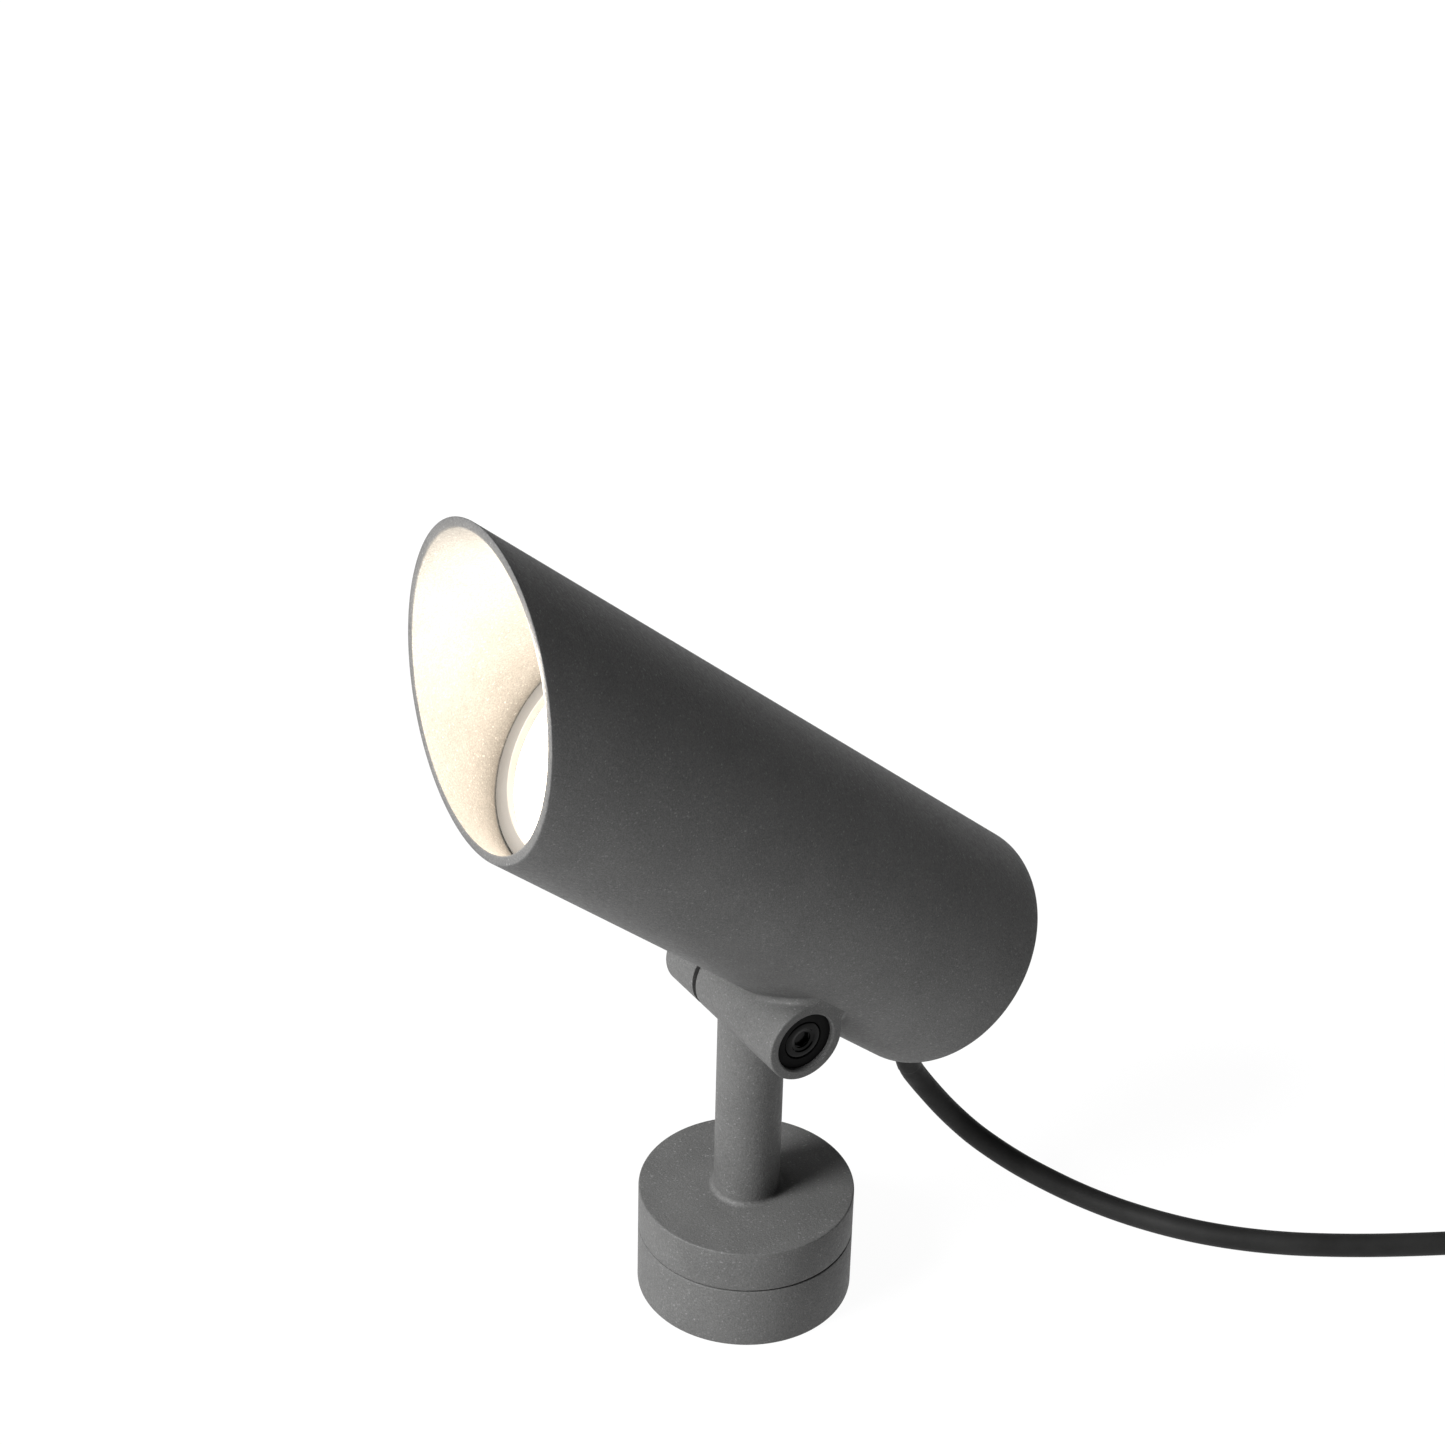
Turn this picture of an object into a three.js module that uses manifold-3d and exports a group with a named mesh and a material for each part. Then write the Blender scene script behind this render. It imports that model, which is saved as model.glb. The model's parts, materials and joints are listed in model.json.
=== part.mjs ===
// Adjustable garden spotlight: a cylindrical head with a slanted snoot, tilting on a post
// that pans on a round two-disc base, with a rubber cord. Millimetres, +Z up.
// Origin: the centre of the base's underside. The head points along -Y, the hinge is along X.
import * as THREE from "three";
import { mergeVertices } from "three/addons/utils/BufferGeometryUtils.js";
import Module from "manifold-3d";

const wasm = await Module();
wasm.setup();

// ---------- driving dimensions ----------
const GAP = 0.3; // clearance left between touching pieces

const BASE_RADIUS = 35;
const SEAM_HEIGHT = 22.7;
const SEAM_HALF = 0.25;
const BASE_HEIGHT = 38;
const BASE_WALL = 4.5;
const BASE_FLOOR = 3.5;
const BOSS_RADIUS = 12;
const BOSS_TOP = 20;
const PIVOT_RADIUS = 4;
const PIVOT_RECESS = 8.4;

const POST_RADIUS = 10.7;
const SPIGOT_RADIUS = 7;
const HINGE_HEIGHT = 114.5;
const KNUCKLE_RADIUS = 13.2;
const KNUCKLE_NEAR = 13.9; // the knuckle's face on the bolt's side
const KNUCKLE_FAR = -12.6;
const EAR_INNER = 14.2;
const EAR_OUTER = 30;
const EAR_WEB = 9.4; // half the width of the web between an ear's barrel and the tube
const BOLT_RADIUS = 4; // an M8 screw with a low head
const BOLT_HEAD_RADIUS = 6.5;
const BOLT_HEAD_HEIGHT = 5;
const BUSH_RADIUS = 6.3;
const COUNTERBORE_RADIUS = 10;

const HEAD_TILT = 41.5; // degrees above the horizon at rest
const HEAD_OFFSET = 41.5; // from the hinge axis to the head's axis
const HEAD_RADIUS = 40.5;
const WALL = 2.6;
const FRONT_TIP = 198.4; // top lip, along the head's axis from the hinge
const CUT_SLOPE = 0.83; // the slanted front's run along the axis per unit of height
const REAR = -57.3;
const BEZEL_FACE = 114.7;
const GLASS_OPENING = 32.6;

const OUTLET_DROP = -12; // where the cable outlet's axis meets the rear plane
const OUTLET_ANGLE = 135; // degrees, so the outlet points down and back
const OUTLET_BOSS = 8.7;
const OUTLET_LENGTH = 16.5;
const GLAND_END = -5; // the gland's inner end, along the outlet's axis from the rear plane

const CORD_RADIUS = 3.9;
const RELIEF_LENGTH = 26;
const COIL_X = 111;
const COIL_Y = 291;
const COIL_LIFT = 1.2; // the tie's strap lies under the turns
const TURN_RADII = [39, 47];
const COIL_LAYERS = 2;
const COIL_INNER = TURN_RADII[0] - CORD_RADIUS - GAP;
const COIL_OUTER = TURN_RADII[1] + CORD_RADIUS + GAP;
const COIL_TOP = COIL_LIFT + 2 * CORD_RADIUS * COIL_LAYERS + 0.1;
const TAIL_BEND = 32; // radius of the tail's turn in to the connector
const TAIL_RISE = 124; // length over which the tail climbs
const TAIL_STRAIGHT = 6;
const CONNECTOR_RADIUS = 9.4;

const SEG = 40;
const FINE = 24; // segments of a small round piece
const INNER_RADIUS = HEAD_RADIUS - WALL;

// ---------- finishes ----------
const finish = (color, roughness, metalness) =>
  new THREE.MeshStandardMaterial({ color, roughness, metalness });
const COAT = finish(0x55585a, 0.62, 0.25);
const STEEL = finish(0xb4b6b8, 0.35, 0.9);
const BLACK_PLASTIC = finish(0x1d1d1e, 0.5, 0);
const RUBBER = finish(0x222223, 0.75, 0);
const ALUMINIUM = finish(0xc3c5c7, 0.4, 0.85);
const BRONZE = finish(0xa97f45, 0.45, 0.8);
const GLASS = finish(0xf4efe2, 0.08, 0);
const WHITE_PLASTIC = finish(0xeceae4, 0.5, 0);
const PHOSPHOR = finish(0xf0d060, 0.6, 0);
const BOARD_GREEN = finish(0x1f5a36, 0.5, 0);
const BOARD_WHITE = finish(0xf2f2ee, 0.5, 0);
const WIRE_BROWN = finish(0x6b3a20, 0.5, 0);
const WIRE_BLUE = finish(0x2356a5, 0.5, 0);
const WIRE_GREEN = finish(0x6f9a2a, 0.5, 0);
const WIRE_RED = finish(0xa52222, 0.5, 0);

// ---------- solids ----------
function solid(geometry) {
  const plain = geometry.clone();
  plain.deleteAttribute("normal");
  plain.deleteAttribute("uv");
  const merged = mergeVertices(plain, 1e-3);
  const index = merged.index.array;
  const kept = [];
  for (let i = 0; i < index.length; i += 3) {
    const [a, b, c] = [index[i], index[i + 1], index[i + 2]];
    if (a !== b && b !== c && c !== a) kept.push(a, b, c);
  }
  return new wasm.Manifold(
    new wasm.Mesh({
      numProp: 3,
      vertProperties: new Float32Array(merged.attributes.position.array),
      triVerts: new Uint32Array(kept),
    }),
  );
}

function geometryOf(manifold) {
  const made = manifold.getMesh();
  const geometry = new THREE.BufferGeometry();
  const positions = new THREE.BufferAttribute(new Float32Array(made.vertProperties), 3);
  geometry.setAttribute("position", positions);
  geometry.setIndex(new THREE.BufferAttribute(new Uint32Array(made.triVerts), 1));
  geometry.computeVertexNormals();
  return geometry;
}

function piece(parent, name, shape, material) {
  const geometry = shape.isBufferGeometry ? shape : geometryOf(shape);
  const mesh = new THREE.Mesh(geometry, material);
  mesh.name = name;
  parent.add(mesh);
  return mesh;
}

// A body of revolution about Z; the profile is a closed outline of [radius, height] points.
function turned(profile, segments = SEG) {
  const area = profile.reduce((sum, [r, z], i) => {
    const [nextR, nextZ] = profile[(i + 1) % profile.length];
    return sum + r * nextZ - nextR * z;
  }, 0);
  const ordered = area > 0 ? profile : [...profile].reverse();
  const closed = [...ordered, ordered[0]];
  const points = closed.map(([r, z]) => new THREE.Vector2(r, z));
  return solid(new THREE.LatheGeometry(points, segments).rotateX(Math.PI / 2));
}

function disc(radius, low, high, segments = SEG) {
  return turned([[0, low], [radius, low], [radius, high], [0, high]], segments);
}

function ring(inner, outer, low, high, segments = SEG) {
  return turned([[inner, low], [outer, low], [outer, high], [inner, high]], segments);
}

function bar(x, y, z, width, depth, height) {
  return solid(new THREE.BoxGeometry(width, depth, height).translate(x, y, z));
}

// A cylinder along X from one x to another.
function rodX(radius, from, to, segments = SEG) {
  const rod = new THREE.CylinderGeometry(radius, radius, to - from, segments);
  return solid(rod.rotateZ(Math.PI / 2).translate((from + to) / 2, 0, 0));
}

// An outline of [z, y] points in the head's side view, given a width along X.
function sidePlate(outline, from, to) {
  const shape = new THREE.Shape(outline.map(([z, y]) => new THREE.Vector2(z, y)));
  const plate = new THREE.ExtrudeGeometry(shape, { depth: to - from, bevelEnabled: false });
  // the shape's x runs along Z and the depth along X
  return solid(plate.rotateY(-Math.PI / 2).translate(to, 0, 0));
}

function circleShape(radius, sides) {
  const shape = new THREE.Shape();
  shape.absarc(0, 0, radius, 0, 2 * Math.PI);
  return new THREE.Shape(shape.getPoints(sides / 2).slice(0, -1));
}

// A round tube along a curve, solid and capped.
function tube(curve, radius, sides, steps) {
  const section = circleShape(radius, sides);
  const extruded = new THREE.ExtrudeGeometry(section, {
    steps,
    extrudePath: curve,
    bevelEnabled: false,
  });
  return solid(extruded);
}

// The stretch of a curve between two lengths from its start.
function stretch(curve, from, to, count) {
  const total = curve.getLength();
  const points = [];
  for (let i = 0; i <= count; i++) {
    points.push(curve.getPointAt(Math.min(1, (from + ((to - from) * i) / count) / total)));
  }
  return new THREE.CatmullRomCurve3(points, false, "centripetal");
}

// What lies on the near side (-1) or the far side (1) of the cut across a curve at a length.
function trimmed(shape, curve, length, side) {
  const part = length / curve.getLength();
  const normal = curve.getTangentAt(part).multiplyScalar(side);
  return shape.trimByPlane(normal.toArray(), normal.dot(curve.getPointAt(part)));
}

// ---------- base ----------
function baseCup() {
  const innerRadius = BASE_RADIUS - BASE_WALL;
  const top = SEAM_HEIGHT - SEAM_HALF;
  const bevel = 0.5;
  const cup = turned([
    [PIVOT_RADIUS + 0.4, 0],
    [BASE_RADIUS - bevel, 0],
    [BASE_RADIUS, bevel],
    [BASE_RADIUS, top - bevel],
    [BASE_RADIUS - bevel, top],
    [innerRadius + 3.2, top],
    [innerRadius + 3.2, top - 1.5],
    [innerRadius + 1.2, top - 1.5],
    [innerRadius + 1.2, top],
    [innerRadius, top],
    [innerRadius, BASE_FLOOR],
    [BOSS_RADIUS, BASE_FLOOR],
    [BOSS_RADIUS, BOSS_TOP],
    [PIVOT_RADIUS + 0.4, BOSS_TOP],
  ]);
  let cut = cup.subtract(disc(8.2, -1, PIVOT_RECESS, FINE));
  for (const side of [-1, 1]) {
    const hole = turned([[0, -1], [2.6, -1], [2.6, 1.5], [4.6, BASE_FLOOR + 1], [0, 4.5]], 24);
    cut = cut.subtract(hole.translate(side * 21, 0, 0));
  }
  return cut;
}

function makeBase() {
  const group = new THREE.Group();
  const innerRadius = BASE_RADIUS - BASE_WALL;
  const top = SEAM_HEIGHT - SEAM_HALF;
  piece(group, "base_cup", baseCup(), COAT);
  piece(group, "base_seal", ring(innerRadius + 1.5, innerRadius + 2.9, top - 1.2, top + 0.2, 32), RUBBER);
  piece(group, "slide_washer", ring(PIVOT_RADIUS + 0.4, 11.5, BOSS_TOP + GAP, 21.8, FINE), WHITE_PLASTIC);
  piece(group, "pivot_cap", disc(8.2 - GAP, 0, 0.8, FINE), BLACK_PLASTIC);
  piece(group, "head_washer", ring(PIVOT_RADIUS + 0.4, 7.6, 6.7, PIVOT_RECESS - GAP, 24), STEEL);
  return group;
}

// ---------- post ----------
function swivelFlange() {
  const low = SEAM_HEIGHT + SEAM_HALF;
  const bevel = 0.5;
  return turned([
    [SPIGOT_RADIUS + GAP, 22.1],
    [14, 22.1],
    [14, 30],
    [BASE_RADIUS - BASE_WALL, 30],
    [BASE_RADIUS - BASE_WALL, low],
    [BASE_RADIUS - bevel, low],
    [BASE_RADIUS, low + bevel],
    [BASE_RADIUS, BASE_HEIGHT - bevel],
    [BASE_RADIUS - bevel, BASE_HEIGHT],
    [SPIGOT_RADIUS + GAP, BASE_HEIGHT],
  ]);
}

function postArm() {
  const foot = BASE_HEIGHT + GAP;
  const post = turned([
    [0, 24],
    [SPIGOT_RADIUS, 24],
    [SPIGOT_RADIUS, foot],
    [POST_RADIUS + 1.6, foot],
    [POST_RADIUS + 0.5, foot + 0.6],
    [POST_RADIUS, foot + 1.8],
    [POST_RADIUS, HINGE_HEIGHT - 2],
    [0, HINGE_HEIGHT - 2],
  ], 36);
  const knuckle = rodX(KNUCKLE_RADIUS, KNUCKLE_FAR, KNUCKLE_NEAR, 40);
  const bore = rodX(BUSH_RADIUS + GAP, -20, 20, 20);
  return post
    .add(knuckle.translate(0, 0, HINGE_HEIGHT))
    .subtract(bore.translate(0, 0, HINGE_HEIGHT))
    .subtract(disc(PIVOT_RADIUS + GAP, 20, 36, 20));
}

function pivotBolt() {
  const head = disc(7.4, 1.1, 6.4, 6);
  return head.add(disc(PIVOT_RADIUS, 6, 34, 20));
}

function makePost() {
  const group = new THREE.Group();
  piece(group, "swivel_flange", swivelFlange(), COAT);
  piece(group, "post_arm", postArm(), COAT);
  piece(group, "pivot_bolt", pivotBolt(), STEEL);
  const hinge = new THREE.Group();
  hinge.position.z = HINGE_HEIGHT;
  group.add(hinge);
  const shaftRoom = rodX(BOLT_RADIUS + GAP, -20, 20, 20);
  const bush = rodX(BUSH_RADIUS, KNUCKLE_FAR, KNUCKLE_NEAR, 20);
  piece(hinge, "knuckle_bush", bush.subtract(shaftRoom), BRONZE);
  const washer = rodX(10.5, -13.9, -12.9, FINE);
  piece(hinge, "friction_washer", washer.subtract(shaftRoom), STEEL);
  return group;
}

// ---------- head, in its own frame: the hinge at the origin, Z forward along the tube ----------
function onAxis(shape) {
  return shape.translate(0, HEAD_OFFSET, 0);
}

function tubeShell() {
  const bevel = 0.8;
  const ledgeRear = 34.8;
  const ledgeFront = 35.2;
  return onAxis(
    turned([
      [INNER_RADIUS, REAR],
      [HEAD_RADIUS - bevel, REAR],
      [HEAD_RADIUS, REAR + bevel],
      [HEAD_RADIUS, FRONT_TIP + 5],
      [INNER_RADIUS, FRONT_TIP + 5],
      [INNER_RADIUS, BEZEL_FACE - 11.4],
      [ledgeFront, BEZEL_FACE - 11.4],
      [ledgeFront, BEZEL_FACE - 14.4],
      [INNER_RADIUS, BEZEL_FACE - 17],
      [INNER_RADIUS, REAR + 12.3],
      [ledgeRear, REAR + 12.3],
      [ledgeRear, REAR + 7.1],
      [INNER_RADIUS, REAR + 7.1],
    ]),
  );
}

function slantedCut() {
  const size = 240;
  const angle = Math.atan(CUT_SLOPE);
  const block = new THREE.BoxGeometry(size, size, size).translate(0, 0, size / 2);
  block.rotateX(angle).translate(0, HEAD_OFFSET + HEAD_RADIUS, FRONT_TIP);
  return solid(block);
}

// An ear: a round barrel end with a narrower web that runs up into the tube.
function ear(from, to) {
  const web = [[-EAR_WEB, 0], [EAR_WEB, 0], [EAR_WEB, 24], [-EAR_WEB, 24]];
  return rodX(KNUCKLE_RADIUS, from, to, 40).add(sidePlate(web, from, to));
}

// The pocket that the knuckle and the post's top swing in.
function pocketBody(radius, halfWidth, rearReach, lift) {
  const round = rodX(radius, -halfWidth, halfWidth, FINE);
  const wedge = [[0, -6], [0, 2], [-lift / 1.7, lift], [-rearReach, -0.4], [-rearReach, -6]];
  return round.add(sidePlate(wedge.reverse(), -halfWidth, halfWidth));
}

function screwPlace(index) {
  const angle = Math.PI / 2 + (index * 2 * Math.PI) / 3;
  return [31.5 * Math.cos(angle), 31.5 * Math.sin(angle)];
}

function headHousing() {
  const bore = onAxis(disc(INNER_RADIUS, REAR - 1, FRONT_TIP + 10));
  const envelope = onAxis(disc(HEAD_RADIUS - 1, REAR + 2, FRONT_TIP));
  const ears = ear(EAR_INNER, EAR_OUTER).add(ear(-EAR_OUTER, -EAR_INNER)).subtract(bore);
  const pocketCover = pocketBody(16.4, EAR_INNER + 2.2, 27.5, 12.6).intersect(envelope);
  let housing = tubeShell().add(ears).add(pocketCover);
  for (let i = 0; i < 3; i++) {
    const [x, y] = screwPlace(i);
    const stud = ring(2.1, 5, REAR + 7.1, REAR + 19, 16);
    housing = housing.add(onAxis(stud.translate(x, y, 0)));
  }
  return housing
    .subtract(pocketBody(14, EAR_INNER, 24, 10))
    .subtract(slantedCut())
    .subtract(rodX(COUNTERBORE_RADIUS, EAR_OUTER - 7, EAR_OUTER + 5, 36))
    .subtract(rodX(COUNTERBORE_RADIUS, -EAR_OUTER - 5, 8 - EAR_OUTER, 36))
    .subtract(rodX(BOLT_RADIUS + GAP, -EAR_OUTER, EAR_OUTER, 20));
}

function makeHinge(group) {
  const seat = EAR_OUTER - 7 + GAP;
  const shaft = rodX(BOLT_RADIUS, -27, seat, 20);
  const socket = rodX(2.9, seat + 2, seat + 7, 6);
  const boltHead = rodX(BOLT_HEAD_RADIUS, seat, seat + BOLT_HEAD_HEIGHT, FINE).subtract(socket);
  piece(group, "tilt_bolt", shaft.add(boltHead), STEEL);
  const collarBore = rodX(BOLT_HEAD_RADIUS + GAP, 0, 40, FINE);
  const collar = rodX(COUNTERBORE_RADIUS - GAP, seat, EAR_OUTER - 1.7, 36).subtract(collarBore);
  piece(group, "bolt_collar", collar, BLACK_PLASTIC);
  const nut = rodX(7.5, -26.8, -22 - GAP, 6).subtract(rodX(BOLT_RADIUS + GAP, -40, 0, 20));
  piece(group, "tilt_nut", nut, STEEL);
  piece(group, "nut_cap", rodX(COUNTERBORE_RADIUS - GAP, -29.2, -27.4, 36), BLACK_PLASTIC);
}

function reflectorBowl(low, flange) {
  const inner = [];
  const outer = [];
  const steps = 5;
  for (let i = 0; i <= steps; i++) {
    const rise = i / steps;
    const radius = 11.6 + 20.8 * Math.sqrt(rise);
    const height = low + (flange - low) * rise;
    inner.push([radius, height]);
    outer.unshift([radius + 1.2, height]);
  }
  return turned([
    ...inner,
    [inner[steps][0], flange + 1.2],
    [37.3, flange + 1.2],
    [37.3, flange],
    ...outer,
  ], 36);
}

function makeOptics(tubeAxis) {
  const face = BEZEL_FACE;
  const bezel = ring(GLASS_OPENING, 37.2, face - 3, face);
  piece(tubeAxis, "bezel_ring", bezel, ALUMINIUM);
  piece(tubeAxis, "front_glass", disc(37.2, face - 7.3, face - 3.3), GLASS);
  piece(tubeAxis, "glass_gasket", ring(33.5, 37.2, face - 9.6, face - 7.6, 36), RUBBER);
  piece(tubeAxis, "reflector", reflectorBowl(63, face - 11.1), ALUMINIUM);
  piece(tubeAxis, "led_holder", ring(11, 21, 59.7, 62.7, FINE), WHITE_PLASTIC);
  piece(tubeAxis, "led_emitter", disc(9.5, 59.7, 60.9, FINE), PHOSPHOR);
  piece(tubeAxis, "led_board", disc(20, 57.8, 59.4, FINE), BOARD_WHITE);
}

function heatSink() {
  const discBack = 51.5;
  const finBack = 24;
  let sink = disc(37.5, discBack, 57.5, 36);
  for (let i = -3; i <= 3; i++) {
    const halfHeight = Math.sqrt(36 ** 2 - (9 * Math.abs(i) + 1) ** 2);
    const length = discBack + 1 - finBack;
    sink = sink.add(bar(9 * i, 0, finBack + length / 2, 2, 2 * halfHeight, length));
  }
  for (const side of [-1, 1]) {
    sink = sink.subtract(disc(2.2, 40, 60, 16).translate(4.5 * side, -15, 0));
  }
  return sink;
}

function driverTray() {
  let tray = bar(0, -19, -9, 48, 2, 54);
  for (const x of [-1, 1]) {
    tray = tray.add(bar(x * 23, -16.5, -9, 2, 5, 54));
    for (const z of [-30, 12]) {
      const standoff = new THREE.CylinderGeometry(2, 2, 3, 16).translate(x * 17, -17.5, z);
      tray = tray.add(solid(standoff));
    }
  }
  return tray;
}

function terminalBlock() {
  let block = bar(0, -8.7, -28.5, 24, 10, 11);
  for (const x of [-8, 0, 8]) {
    block = block.subtract(disc(1.8, -40, -28, 16).translate(x, -9, 0));
  }
  return block;
}

function makeDriver(tubeAxis) {
  const boardTop = -14.1;
  piece(tubeAxis, "heat_sink", heatSink(), ALUMINIUM);
  piece(tubeAxis, "driver_tray", driverTray(), WHITE_PLASTIC);
  piece(tubeAxis, "driver_board", bar(0, boardTop - 0.8, -9, 43, 1.6, 52), BOARD_GREEN);
  piece(tubeAxis, "driver_transformer", bar(1, boardTop + 7.3, 1, 14, 14, 18), BLACK_PLASTIC);
  const can = disc(5, -16, 4, 20).translate(15, boardTop + 5.4, 0);
  piece(tubeAxis, "driver_capacitor", can, ALUMINIUM);
  const choke = new THREE.TorusGeometry(5, 2.4, 8, 16).rotateX(Math.PI / 2);
  piece(tubeAxis, "driver_inductor", solid(choke.translate(-14.5, boardTop + 2.8, -6)), BRONZE);
  piece(tubeAxis, "terminal_block", terminalBlock(), WHITE_PLASTIC);
}

function wire(tubeAxis, name, material, points) {
  const vectors = points.map(([x, y, z]) => new THREE.Vector3(x, y, z));
  const curve = new THREE.CatmullRomCurve3(vectors);
  piece(tubeAxis, name, tube(curve, 1.1, 8, 10), material);
}

function makeWiring(tubeAxis) {
  const cores = [
    ["wire_brown", WIRE_BROWN, -1],
    ["wire_earth", WIRE_GREEN, 0],
    ["wire_blue", WIRE_BLUE, 1],
  ];
  for (const [name, material, side] of cores) {
    wire(tubeAxis, name, material, [
      [side * 2.5, -5.6, REAR + 6.4],
      [side * 3.4, -3.4, REAR + 9],
      [side * 6, -3.6, REAR + 14],
      [side * 8, -8.2, REAR + 19.5],
      [side * 8, -9, REAR + 24],
      [side * 8, -9, -29],
    ]);
  }
  for (const [name, material, side] of [
    ["led_lead_red", WIRE_RED, -1],
    ["led_lead_black", BLACK_PLASTIC, 1],
  ]) {
    wire(tubeAxis, name, material, [
      [side * 4.5, -12.2, 14.5],
      [side * 4.5, -11.6, 20],
      [side * 4.5, -14.4, 30],
      [side * 4.5, -15, 44],
      [side * 4.5, -15, 57.5],
    ]);
  }
}

// ---------- rear cap and cable outlet; the outlet's frame has Z along the leaving cord ----------
function placeOutlet(shape) {
  return shape.rotate([OUTLET_ANGLE, 0, 0]).translate(0, OUTLET_DROP, REAR);
}

function rearCap() {
  const back = REAR + 1;
  const boss = placeOutlet(disc(9.8, -8, OUTLET_BOSS, FINE));
  const glandBore = placeOutlet(disc(7 + GAP, GLAND_END - GAP, 20, FINE));
  const cordBore = placeOutlet(disc(CORD_RADIUS + GAP, -20, 0, 20));
  const insideOnly = disc(36, back - 20, back + 8);
  let cap = turned([
    [0, back],
    [36.8, back],
    [37.6, back + 0.8],
    [37.6, back + 4.1],
    [0, back + 4.1],
  ]);
  cap = cap.add(boss.intersect(insideOnly)).subtract(glandBore).subtract(cordBore);
  for (let i = 0; i < 3; i++) {
    const [x, y] = screwPlace(i);
    const recess = disc(3.7, back - 1, back + 2.3, 20).add(disc(2.2, back, back + 6, 16));
    cap = cap.subtract(recess.translate(x, y, 0));
  }
  return cap;
}

function makeRear(tubeAxis) {
  const back = REAR + 1;
  piece(tubeAxis, "rear_cap", rearCap(), COAT);
  piece(tubeAxis, "rear_gasket", ring(35.1, 37.5, REAR + 5.4, REAR + 6.8, 36), RUBBER);
  for (let i = 0; i < 3; i++) {
    const [x, y] = screwPlace(i);
    const driveSocket = disc(1.5, back - 1, back + 1.2, 6);
    const head = disc(3.4, back + 0.1, back + 2, 20).subtract(driveSocket);
    const screw = head.add(disc(1.8, back + 1.6, REAR + 15, 12));
    piece(tubeAxis, "rear_screw_" + (i + 1), screw.translate(x, y, 0), STEEL);
  }
  const outlet = new THREE.Group();
  outlet.position.set(0, OUTLET_DROP, REAR);
  outlet.rotation.x = THREE.MathUtils.degToRad(OUTLET_ANGLE);
  tubeAxis.add(outlet);
  const bore = disc(CORD_RADIUS + GAP, -20, 40, 20);
  const collar = OUTLET_BOSS + GAP;
  const nutLow = collar + 2 + GAP;
  const sealTop = nutLow + 3.1;
  const body = disc(7, GLAND_END, collar + 1, FINE).add(disc(9.6, collar, collar + 2, 6)).subtract(bore);
  piece(outlet, "gland_body", body, BLACK_PLASTIC);
  const nut = turned([
    [5.9, nutLow],
    [9.4, nutLow],
    [9.4, nutLow + 2.4],
    [8.4, sealTop + 0.8],
    [6.8, OUTLET_LENGTH],
    [CORD_RADIUS + GAP, OUTLET_LENGTH],
    [CORD_RADIUS + GAP, sealTop],
    [5.9, sealTop],
  ], FINE);
  piece(outlet, "gland_nut", nut, BLACK_PLASTIC);
  piece(outlet, "gland_seal", ring(CORD_RADIUS + GAP, 5.6, nutLow + 0.1, sealTop - GAP, 20), RUBBER);
  piece(outlet, "cord_entry", disc(CORD_RADIUS, -8, OUTLET_LENGTH, 16), RUBBER);
}

function makeHead() {
  const head = new THREE.Group();
  head.position.z = HINGE_HEIGHT;
  head.rotation.x = THREE.MathUtils.degToRad(90 - HEAD_TILT);
  piece(head, "head_housing", headHousing(), COAT);
  makeHinge(head);
  const tubeAxis = new THREE.Group();
  tubeAxis.position.y = HEAD_OFFSET;
  head.add(tubeAxis);
  makeOptics(tubeAxis);
  makeDriver(tubeAxis);
  makeWiring(tubeAxis);
  makeRear(tubeAxis);
  return head;
}

// ---------- cord ----------
// From the outlet down under its own weight, then along the ground to the coil.
const ROUTE = [
  [0, 63.5, 82.1],
  [0, 63.8, 77.1],
  [-1.3, 64, 71],
  [-3.3, 65, 62.4],
  [-4.6, 68, 55],
  [-5, 72, 48.5],
  [-4.3, 76.4, 41.8],
  [-2.6, 80.8, 35.3],
  [0.2, 85.4, 29.1],
  [4, 90.1, 23.5],
  [8.5, 94.9, 18.8],
  [13.7, 99.6, 14.9],
  [19.3, 104.2, 11.8],
  [30.8, 112.8, 7.5],
  [42.3, 120.8, 5.2],
  [54.3, 129.3, 4.2],
  [66.3, 138.8, 3.9],
  [77.2, 149.3, 3.9],
  [86.8, 160.7, 3.9],
  [95.4, 173, 3.9],
  [103.4, 185.9, 3.9],
  [110.9, 199.2, 3.9],
  [118.1, 212.8, 3.9],
  [125.2, 226.2, 3.9],
  [132.2, 239.4, 3.9],
];
// where the route meets the coil's outer turn, going round it anticlockwise
const MEET_ANGLE = THREE.MathUtils.degToRad(-28);

function relief(curve) {
  const end = RELIEF_LENGTH;
  const total = curve.getLength();
  const sleeve = tube(stretch(curve, 0, end + 2, 10), 1, 16, 12);
  const made = geometryOf(sleeve);
  const place = made.attributes.position;
  const point = new THREE.Vector3();
  for (let i = 0; i < place.count; i++) {
    point.fromBufferAttribute(place, i);
    let best = 0;
    let nearest = Infinity;
    for (let s = 0; s <= end + 2; s += 0.25) {
      const distance = curve.getPointAt(s / total).distanceTo(point);
      if (distance < nearest) {
        nearest = distance;
        best = s;
      }
    }
    const centre = curve.getPointAt(best / total);
    const radius = 6.4 - (2 * best) / end;
    point.sub(centre).multiplyScalar(radius).add(centre);
    place.setXYZ(i, point.x, point.y, point.z);
  }
  return trimmed(trimmed(solid(made), curve, GAP, 1), curve, end, -1);
}

function coilSolid() {
  const edge = 3;
  return turned([
    [COIL_INNER + edge, COIL_LIFT],
    [COIL_OUTER - edge, COIL_LIFT],
    [COIL_OUTER, COIL_LIFT + edge],
    [COIL_OUTER, COIL_TOP - edge],
    [COIL_OUTER - edge, COIL_TOP],
    [COIL_INNER + edge, COIL_TOP],
    [COIL_INNER, COIL_TOP - edge],
    [COIL_INNER, COIL_LIFT + edge],
  ], 40).translate(COIL_X, COIL_Y, 0);
}

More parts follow.
